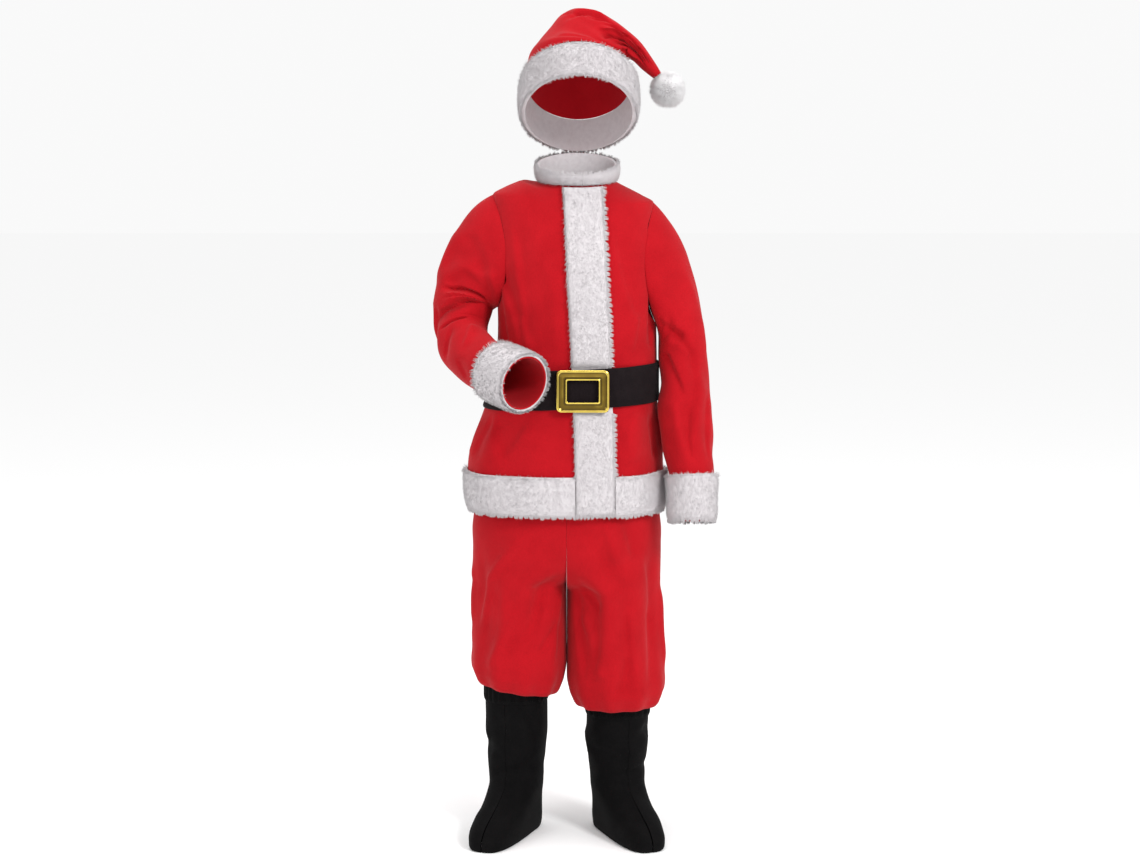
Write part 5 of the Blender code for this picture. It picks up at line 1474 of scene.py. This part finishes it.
def make_belt():
    turn = np.linspace(-math.pi, math.pi, BELT_FINE_COLUMNS + 1)[:-1][None, :]
    share = np.array(BELT_SHARES)[:, None] + 0 * turn
    turn = turn + 0 * share
    base = belt_place(turn, share)
    normal = outward(belt_place, turn, share)
    edge = np.minimum(share, 1 - share)
    fold = 0.0004 * eased(edge / 0.03) * (1 - eased((edge - 0.10) / 0.06))
    high = BELT_THICK * (0.45 + 0.55 * np.sqrt(eased(edge / 0.03))) + fold
    strap = wall("belt_strap_cloth", base + high[..., None] * normal, base, BELT_CLOTH, True)
    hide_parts("belt_strap")
    stitches = []
    around = np.linspace(-math.pi, math.pi, BELT_STITCH_STEPS)
    for row in BELT_STITCH_ROWS:
        at = row + 0 * around
        line = belt_place(around, at) + (BELT_THICK + STITCH_STAND) * outward(belt_place, around, at)
        stitches.append(line)
    sewn = stitch_rows("belt_stitches", stitches, BLACK_THREAD)


BELT_FINE_COLUMNS = 600
# Where the strap's rows lie over its width: close together at both edges
BELT_SHARES = (0.0, 0.015, 0.04, 0.08, 0.2, 0.35, 0.5, 0.65, 0.8, 0.92, 0.96, 0.985, 1.0)
BELT_STITCH_ROWS = (0.075, 0.925)
BELT_STITCH_STEPS = 2400
STITCH_STAND = 0.0003


def stitch_rows(name, lines, finish, length=0.0024, gap=0.0012, width=0.0005):
    """Short raised stitches along lines, as closed spindles."""
    points, faces = [], []
    for line in lines:
        run = np.concatenate([[0], np.cumsum(np.linalg.norm(np.diff(line, axis=0), axis=1))])
        starts = np.arange(0, run[-1] - length, length + gap)
        ends = [
            np.stack([np.interp(s, run, line[:, k]) for k in range(3)], axis=-1) for s in (starts, starts + length)
        ]
        along = ends[1] - ends[0]
        along /= np.linalg.norm(along, axis=1, keepdims=True)
        first = np.cross(along, [[0.31, 0.52, 0.79]])
        first /= np.linalg.norm(first, axis=1, keepdims=True)
        second = np.cross(along, first)
        middle = (ends[0] + ends[1]) / 2
        quarters = (0, math.pi / 2, math.pi, 1.5 * math.pi)
        ring = [middle + width * (math.cos(a) * first + math.sin(a) * second) for a in quarters]
        shape = np.stack([ends[0], *ring, ends[1]], axis=1)
        one = np.array([(0, 2, 1), (0, 3, 2), (0, 4, 3), (0, 1, 4), (5, 1, 2), (5, 2, 3), (5, 3, 4), (5, 4, 1)])
        shift = sum(len(p) for p in points)
        faces.append((one[None] + 6 * np.arange(len(starts))[:, None, None] + shift).reshape(-1, 3))
        points.append(shape.reshape(-1, 3))
    return piece(name, np.concatenate(points), np.concatenate(faces), finish, corners=3)


# The buckle's finer profile: inward from its outer edge to its opening, forward through its thickness, and
# how bright it is painted: painted highlights on its bevels and inner lip, painted shade in its valleys
Fine = namedtuple("Fine", "inward forward worn")
BUCKLE_FINE = (
    Fine(0.000, 0.10, 0.15),
    Fine(0.000, 0.62, 0.30),
    Fine(0.020, 0.80, 0.60),
    Fine(0.065, 0.93, 0.95),
    Fine(0.120, 1.00, 0.60),
    Fine(0.185, 0.98, 0.85),
    Fine(0.230, 0.86, 0.35),
    Fine(0.270, 0.74, 0.20),
    Fine(0.420, 0.66, 0.40),
    Fine(0.600, 0.58, 0.50),
    Fine(0.740, 0.54, 0.15),
    Fine(0.800, 0.60, 0.10),
    Fine(0.850, 0.74, 0.80),
    Fine(0.900, 0.80, 1.00),
    Fine(0.955, 0.74, 0.60),
    Fine(0.990, 0.58, 0.20),
    Fine(1.000, 0.40, 0.05),
    Fine(1.000, 0.05, 0.00),
    Fine(0.960, 0.00, 0.10),
    Fine(0.080, 0.00, 0.10),
)


def make_buckle():
    low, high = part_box("belt_buckle")
    back_y = high[1] + ORIGIN[1]
    middle_z = belt_middle(BUCKLE_X) - BUCKLE_DROP
    rings = []
    for edge in BUCKLE_FINE:
        width = BUCKLE_WIDTH + edge.inward * (BUCKLE_OPEN_WIDTH - BUCKLE_WIDTH)
        height = BUCKLE_HEIGHT + edge.inward * (BUCKLE_OPEN_HEIGHT - BUCKLE_HEIGHT)
        corner = BUCKLE_OUTER_CORNER + edge.inward * (BUCKLE_INNER_CORNER - BUCKLE_OUTER_CORNER)
        outline = rectangle_ring(width, height, corner, 10)
        y = back_y - edge.forward * BUCKLE_THICK
        rings.append(joined(outline[:, 0] + BUCKLE_X, y, outline[:, 1] + middle_z))
    rows, columns = len(rings), len(rings[0])
    faces = grid_faces(rows + 1, columns, True) % (rows * columns)
    frame_piece = piece("belt_buckle_frame", np.concatenate(rings), faces, GOLD)
    # Painted highlights and painted shade, ring by ring from the table
    worn = frame_piece.data.attributes.new("worn", "FLOAT", "POINT")
    worn.data.foreach_set("value", np.repeat(column(BUCKLE_FINE, "worn"), columns).astype(np.float32))
    turn_faces_out(frame_piece.data)
    frame_piece.data.set_sharp_from_angle(angle=math.radians(50))
    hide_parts("belt_buckle")


# Trousers


# How far the two legs swell toward one another on their inner sides
Touch = namedtuple("Touch", "height lift")
LEG_TOUCH = (
    Touch(0.232, 0.0),
    Touch(0.250, 0.00088),
    Touch(0.280, 0.00046),
    Touch(0.320, 0.00036),
    Touch(0.362, 0.00036),
    Touch(0.380, 0.0),
)


def leg_detail(leg, lines, seed):
    def detail(across, place, points):
        across, place = np.broadcast_arrays(across, place)
        turn = across * leg.edge_turn(place)
        height = by_row(TROUSER_LEG, "height", place)
        calm = eased((1 - place) / 0.18) * eased((1 - np.abs(across)) / 0.15) * eased(place / 0.06)
        fold = line_sum(lines, turn, height, LEG_METRES) + 1.2 * RIPPLE * lumps(points, RIPPLE_SIZE, seed)
        hem = eased((height - 0.214) / 0.006) * (1 - eased((height - 0.222) / 0.010)) * (place < 0.9)
        inner = np.interp(height, column(LEG_TOUCH, "height"), column(LEG_TOUCH, "lift"))
        inner = inner * (1 - eased((1 - np.abs(across)) / 0.12)) * (place < 0.9)
        return fold * calm - 0.0007 * hem + inner

    return detail


def make_trousers():
    place = np.linspace(0, 1, LEG_FINE_ROWS)[:, None]
    across = np.linspace(-1, 1, LEG_FINE_COLUMNS)[None, :]
    for name, side, lines, seed in (("left", 1, LINES_LEG_LEFT, 5), ("right", -1, LINES_LEG_RIGHT, 6)):
        leg = TrouserLeg(side)
        detail = leg_detail(leg, lines, seed)
        cloth = shell(
            f"trouser_leg_{name}_cloth", leg, across + 0 * place, place + 0 * across, RED, -side,
            detail=detail,
        )
        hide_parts(f"trouser_leg_{name}")
    turn = np.linspace(0, 2 * math.pi, 16 * WAIST_WAVES + 1)[:-1][None, :]
    share = np.linspace(0, 1, 7)[:, None]
    turn, share = turn + 0 * share, share + 0 * turn
    band = shell(
        "trouser_waistband_cloth", waistband, turn, share, RED, closed=True, thick=WAISTBAND_THICK,
    )
    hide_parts("trouser_waistband")


LEG_FINE_ROWS = 106
LEG_FINE_COLUMNS = 116


# Boot covers


def boot_detail(seed):
    def detail(turn, place, points):
        turn, place = np.broadcast_arrays(turn, place)
        height = by_row(BOOT, "height", place)
        calm = eased((BOOT[0].height - CASING_HEIGHT - height) / 0.01) * eased(height / 0.012)
        fold = line_sum(LINES_BOOT, turn, height, BOOT_METRES) + RIPPLE * lumps(points, 0.022, seed)
        seam = np.exp(-((np.cos(turn) * BOOT_METRES / BOOT_SEAM_WIDTH) ** 2))
        return fold * calm - BOOT_SEAM_DEPTH * seam

    return detail


def make_boot(stand, seed):
    boot = BootCover(stand)
    name = "left" if stand.side > 0 else "right"
    place = np.linspace(0, 1, BOOT_FINE_ROWS)[:, None]
    gap = SEAM / 2 / BOOT[0].half_width
    for half, start in ((1, -math.pi / 2), (-1, math.pi / 2)):
        part = "outer" if half == stand.side else "inner"
        turn = np.linspace(start + gap, start + math.pi - gap, BOOT_FINE_COLUMNS)[None, :] + 0 * place
        cloth = shell(
            f"boot_{name}_{part}_cloth", boot, turn, place + 0 * turn, BOOT_BLACK, -1,
            thick=BOOT_CLOTH, detail=boot_detail(seed),
        )
        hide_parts(f"boot_{name}_{part}")
    make_casing(boot, name)
    make_strap(boot, name)


def make_casing(boot, name):
    turn = np.linspace(-math.pi / 2, 1.5 * math.pi, 161)[:-1][None, :]
    top = BOOT[0].height
    last = float(np.interp(CASING_HEIGHT, top - column(BOOT[:3], "height"), np.arange(3))) / (len(BOOT) - 1)
    share = np.linspace(0, 1, 13)[:, None]
    edge = np.minimum(share, 1 - share)
    swell = CASING_EDGE + (CASING_THICK - CASING_EDGE) * np.sqrt(eased(edge / 0.12))
    gathers = 0.0010 * np.sin(26 * turn + 1.5 * np.sin(3 * turn)) * eased(edge / 0.2)
    u, v = turn + 0 * share, share * last + 0 * turn
    base, normal = boot(u, v), outward(boot, u, v, -1)
    high = SEWN + swell + gathers
    band = wall(
        f"boot_{name}_casing_cloth", base + high[..., None] * normal, base + SEWN * normal, BOOT_BLACK,
        True,
    )
    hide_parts(f"boot_{name}_casing")
    around = np.linspace(-math.pi / 2, 1.5 * math.pi, 700)
    rows = []
    for at in (0.86, 0.78):
        spot = last * at + 0 * around
        rows.append(boot(around, spot) + (SEWN + CASING_THICK + 0.0002) * outward(boot, around, spot, -1))
    sewn = stitch_rows(f"boot_{name}_stitches", rows, BLACK_THREAD)


def make_strap(boot, name):
    """The flat elastic under the arch, ribbed along its length."""
    width = np.linspace(0, 1, STRAP_RIB_STEPS * STRAP_RIBS + 1)[:, None, None]
    span = np.linspace(0, 1, 41)[None, :, None]
    ends = []
    for turn in STRAP_TURNS:
        pair = np.array([turn, math.pi - turn])
        near, far = boot(pair, 1.0 - STRAP_INSET), boot(pair, 1.0)
        ends.append(far + STRAP_INSET * (near - far))
    (a, b), (c, d) = ends
    lower = (1 - width) * (a + (b - a) * span) + width * (c + (d - c) * span)
    lower[..., 2] = BOOT_CLOTH + SEAM
    upper = lower.copy()
    upper[..., 2] += STRAP_THICK + STRAP_RIB * np.abs(np.sin(math.pi * STRAP_RIBS * width[..., 0]))
    band = wall(f"boot_{name}_strap_elastic", upper, lower, BOOT_BLACK)
    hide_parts(f"boot_{name}_strap")


STRAP_RIBS = 6
STRAP_RIB_STEPS = 4
STRAP_RIB = 0.0003
BOOT_SEAM_WIDTH = 0.0022
BOOT_SEAM_DEPTH = 0.0001
BOOT_FINE_ROWS = 84
BOOT_FINE_COLUMNS = 40


# Hat


def crown_detail(turn, place, points):
    turn, place = np.broadcast_arrays(turn, place)
    calm = eased((place - 0.02) / 0.08) * eased((1 - place) / 0.04)
    seam = np.exp(-((np.sin(turn) * HAT_METRES[0] / CROWN_SEAM_WIDTH) ** 2))
    fold = line_sum(LINES_HAT, turn, place, *HAT_METRES) + RIPPLE * lumps(points, 0.026, 8)
    return fold * calm - CROWN_SEAM_DEPTH * seam * calm


def make_hat():
    place = np.linspace(0, 1, CROWN_FINE_ROWS)[:, None]
    gap = SEAM / 2 / CROWN_SEAM_RADIUS
    for name, start in (("back", 0.0), ("front", -math.pi)):
        turn = np.linspace(start + gap, start + math.pi - gap, CROWN_FINE_COLUMNS)[None, :] + 0 * place
        cloth = shell(
            f"hat_crown_{name}_cloth", crown_above_brim, turn, place + 0 * turn, RED,
            detail=crown_detail,
        )
        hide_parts(f"hat_crown_{name}")

    plush_band(
        "hat_brim_plush", "hat_brim", lambda u, v: brim(2 * math.pi * u, v), 1,
        lambda u, v: rounded(v, 0.0026, 0.0076, 0.34), lambda u, v: -BRIM_INSIDE + 0 * u,
        13500, 18, 180, True, 61, (0.10, -0.6),
        edges=(Edge(2600, (0.0, 1.0), (0.0, 0.06), 0.1, -1.2), Edge(900, (0.0, 1.0), (0.95, 1.0), 0.1, -0.8)),
    )


CROWN_SEAM_WIDTH = 0.0026
CROWN_SEAM_DEPTH = 0.0009
CROWN_FINE_ROWS = 96
CROWN_FINE_COLUMNS = 64


# The core's share of the pompom's radius, its grid, and how near that comes to the poles
POMPOM_CORE_SHARE = 0.80
POMPOM_ROWS = 26
POMPOM_COLUMNS = 48
POMPOM_POLE = 0.03


def make_pompom():
    centre = np.array(POMPOM_CENTRE)
    inner = POMPOM_RADIUS * POMPOM_CORE_SHARE

    def ball(u, v):
        lift = np.arccos(np.clip(1 - 2 * v, -1, 1))
        around = 2 * math.pi * u
        way = joined(np.sin(lift) * np.cos(around), np.sin(lift) * np.sin(around), np.cos(lift))
        size = inner * (1 + 0.05 * lumps(way, 0.35, 71))
        return centre + size[..., None] * way

    rows, columns = POMPOM_ROWS, POMPOM_COLUMNS
    v = (1 - np.cos(np.linspace(POMPOM_POLE, math.pi - POMPOM_POLE, rows))) / 2
    u = np.linspace(0, 1, columns + 1)[:-1]
    grid = ball(u[None, :] + 0 * v[:, None], v[:, None] + 0 * u[None, :])
    points = np.concatenate([grid.reshape(-1, 3), [centre + [0, 0, inner]], [centre - [0, 0, inner]]])
    first = np.arange(columns)
    second = (first + 1) % columns
    quads = grid_faces(rows, columns, True)
    faces = np.concatenate([quads[:, [0, 1, 2]], quads[:, [0, 2, 3]]])
    top = np.stack([first, second, np.full(columns, rows * columns)], axis=-1)
    foot = np.stack([second, first, np.full(columns, rows * columns + 1)], axis=-1)
    foot[:, :2] += (rows - 1) * columns
    core = piece("hat_pompom_core", points, np.concatenate([faces, top, foot]), GROUND, corners=3)
    turn_faces_out(core.data)
    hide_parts("hat_pompom")
    ru, rv = scattered(8500, 73, v_range=(0.004, 0.996))
    strands(
        "hat_pompom_strands", ball, -1, (ru, rv), (0 * ru, 0 * ru), 0.0078, 74, width=0.00034, gather=0.25, wild=0.8,
        finish=LIGHTENED_POMPOM_STRANDS,
    )


# Floor, light and camera


def make_stage():
    floor_material, tree, shader = finish_base("pale_floor", 0.9)
    shader.inputs["Base Color"].default_value = (0.98, 0.98, 0.98, 1.0)
    shader.inputs["Specular IOR Level"].default_value = 0.0
    mesh = bpy.data.meshes.new("floor")
    z = float(cad_box[0][2]) - FLOOR_GAP
    corners = [(x * FLOOR_HALF, y * FLOOR_HALF, z) for x, y in ((-1, -1), (1, -1), (1, 1), (-1, 1))]
    mesh.from_pydata(corners, [], [(0, 1, 2, 3)])
    mesh.materials.append(floor_material)
    floor = bpy.data.objects.new("floor", mesh)
    bpy.context.scene.collection.objects.link(floor)
    world = bpy.data.worlds.new("pale_room")
    world.use_nodes = True
    world.node_tree.nodes["Background"].inputs["Color"].default_value = (1.0, 1.0, 1.0, 1.0)
    world.node_tree.nodes["Background"].inputs["Strength"].default_value = WORLD_STRENGTH
    bpy.context.scene.world = world
    for name, place, target, size, power_watts in LAMPS:
        light = bpy.data.lights.new(name, "AREA")
        light.shape = "DISK"
        light.size = size
        light.energy = power_watts
        item = bpy.data.objects.new(name, light)
        item.location = place
        item.rotation_euler = look(place, target)
        bpy.context.scene.collection.objects.link(item)


def look(place, target):
    return (Vector(target) - Vector(place)).to_track_quat("-Z", "Y").to_euler()


LAMPS = (
    ("key_lamp", (1.9, -2.3, 1.5), (0.0, 0.0, -0.35), 0.9, 66.0),
    ("fill_lamp", (-2.4, -2.4, 0.9), (0.0, 0.0, -0.4), 1.6, 16.0),
    ("top_lamp", (-0.3, -0.2, 2.2), (0.0, 0.0, -0.4), 1.2, 22.0),
)
CAMERA_PLACE = (-0.0105, -3.2, -0.005)
CAMERA_TARGET = (-0.0105, 0.0, -0.368)
CAMERA_LENS = 67.8
SENSOR_WIDTH = 36.0
FLOOR_HALF = 40
FLOOR_GAP = 0.0005
WORLD_STRENGTH = 0.95


def make_camera():
    camera = bpy.data.cameras.new("camera")
    camera.lens = CAMERA_LENS
    camera.sensor_width = SENSOR_WIDTH
    item = bpy.data.objects.new("camera", camera)
    item.location = CAMERA_PLACE
    item.rotation_euler = look(CAMERA_PLACE, CAMERA_TARGET)
    bpy.context.scene.collection.objects.link(item)
    bpy.context.scene.camera = item


make_camera()
make_stage()
bpy.context.scene.view_settings.view_transform = "Standard"
make_jacket()
make_placket()
make_hem()
make_collar()
make_sleeve("left", 1, SLEEVE_HANGING, CREASES_HANGING, LINES_HANGING, 41)
make_sleeve("right", -1, SLEEVE_BENT, CREASES_BENT, LINES_BENT, 43)
make_belt()
make_buckle()
make_trousers()
for number, boot_stand in enumerate(BOOTS):
    make_boot(boot_stand, 51 + number)
make_hat()
make_pompom()

bpy.context.view_layer.update()
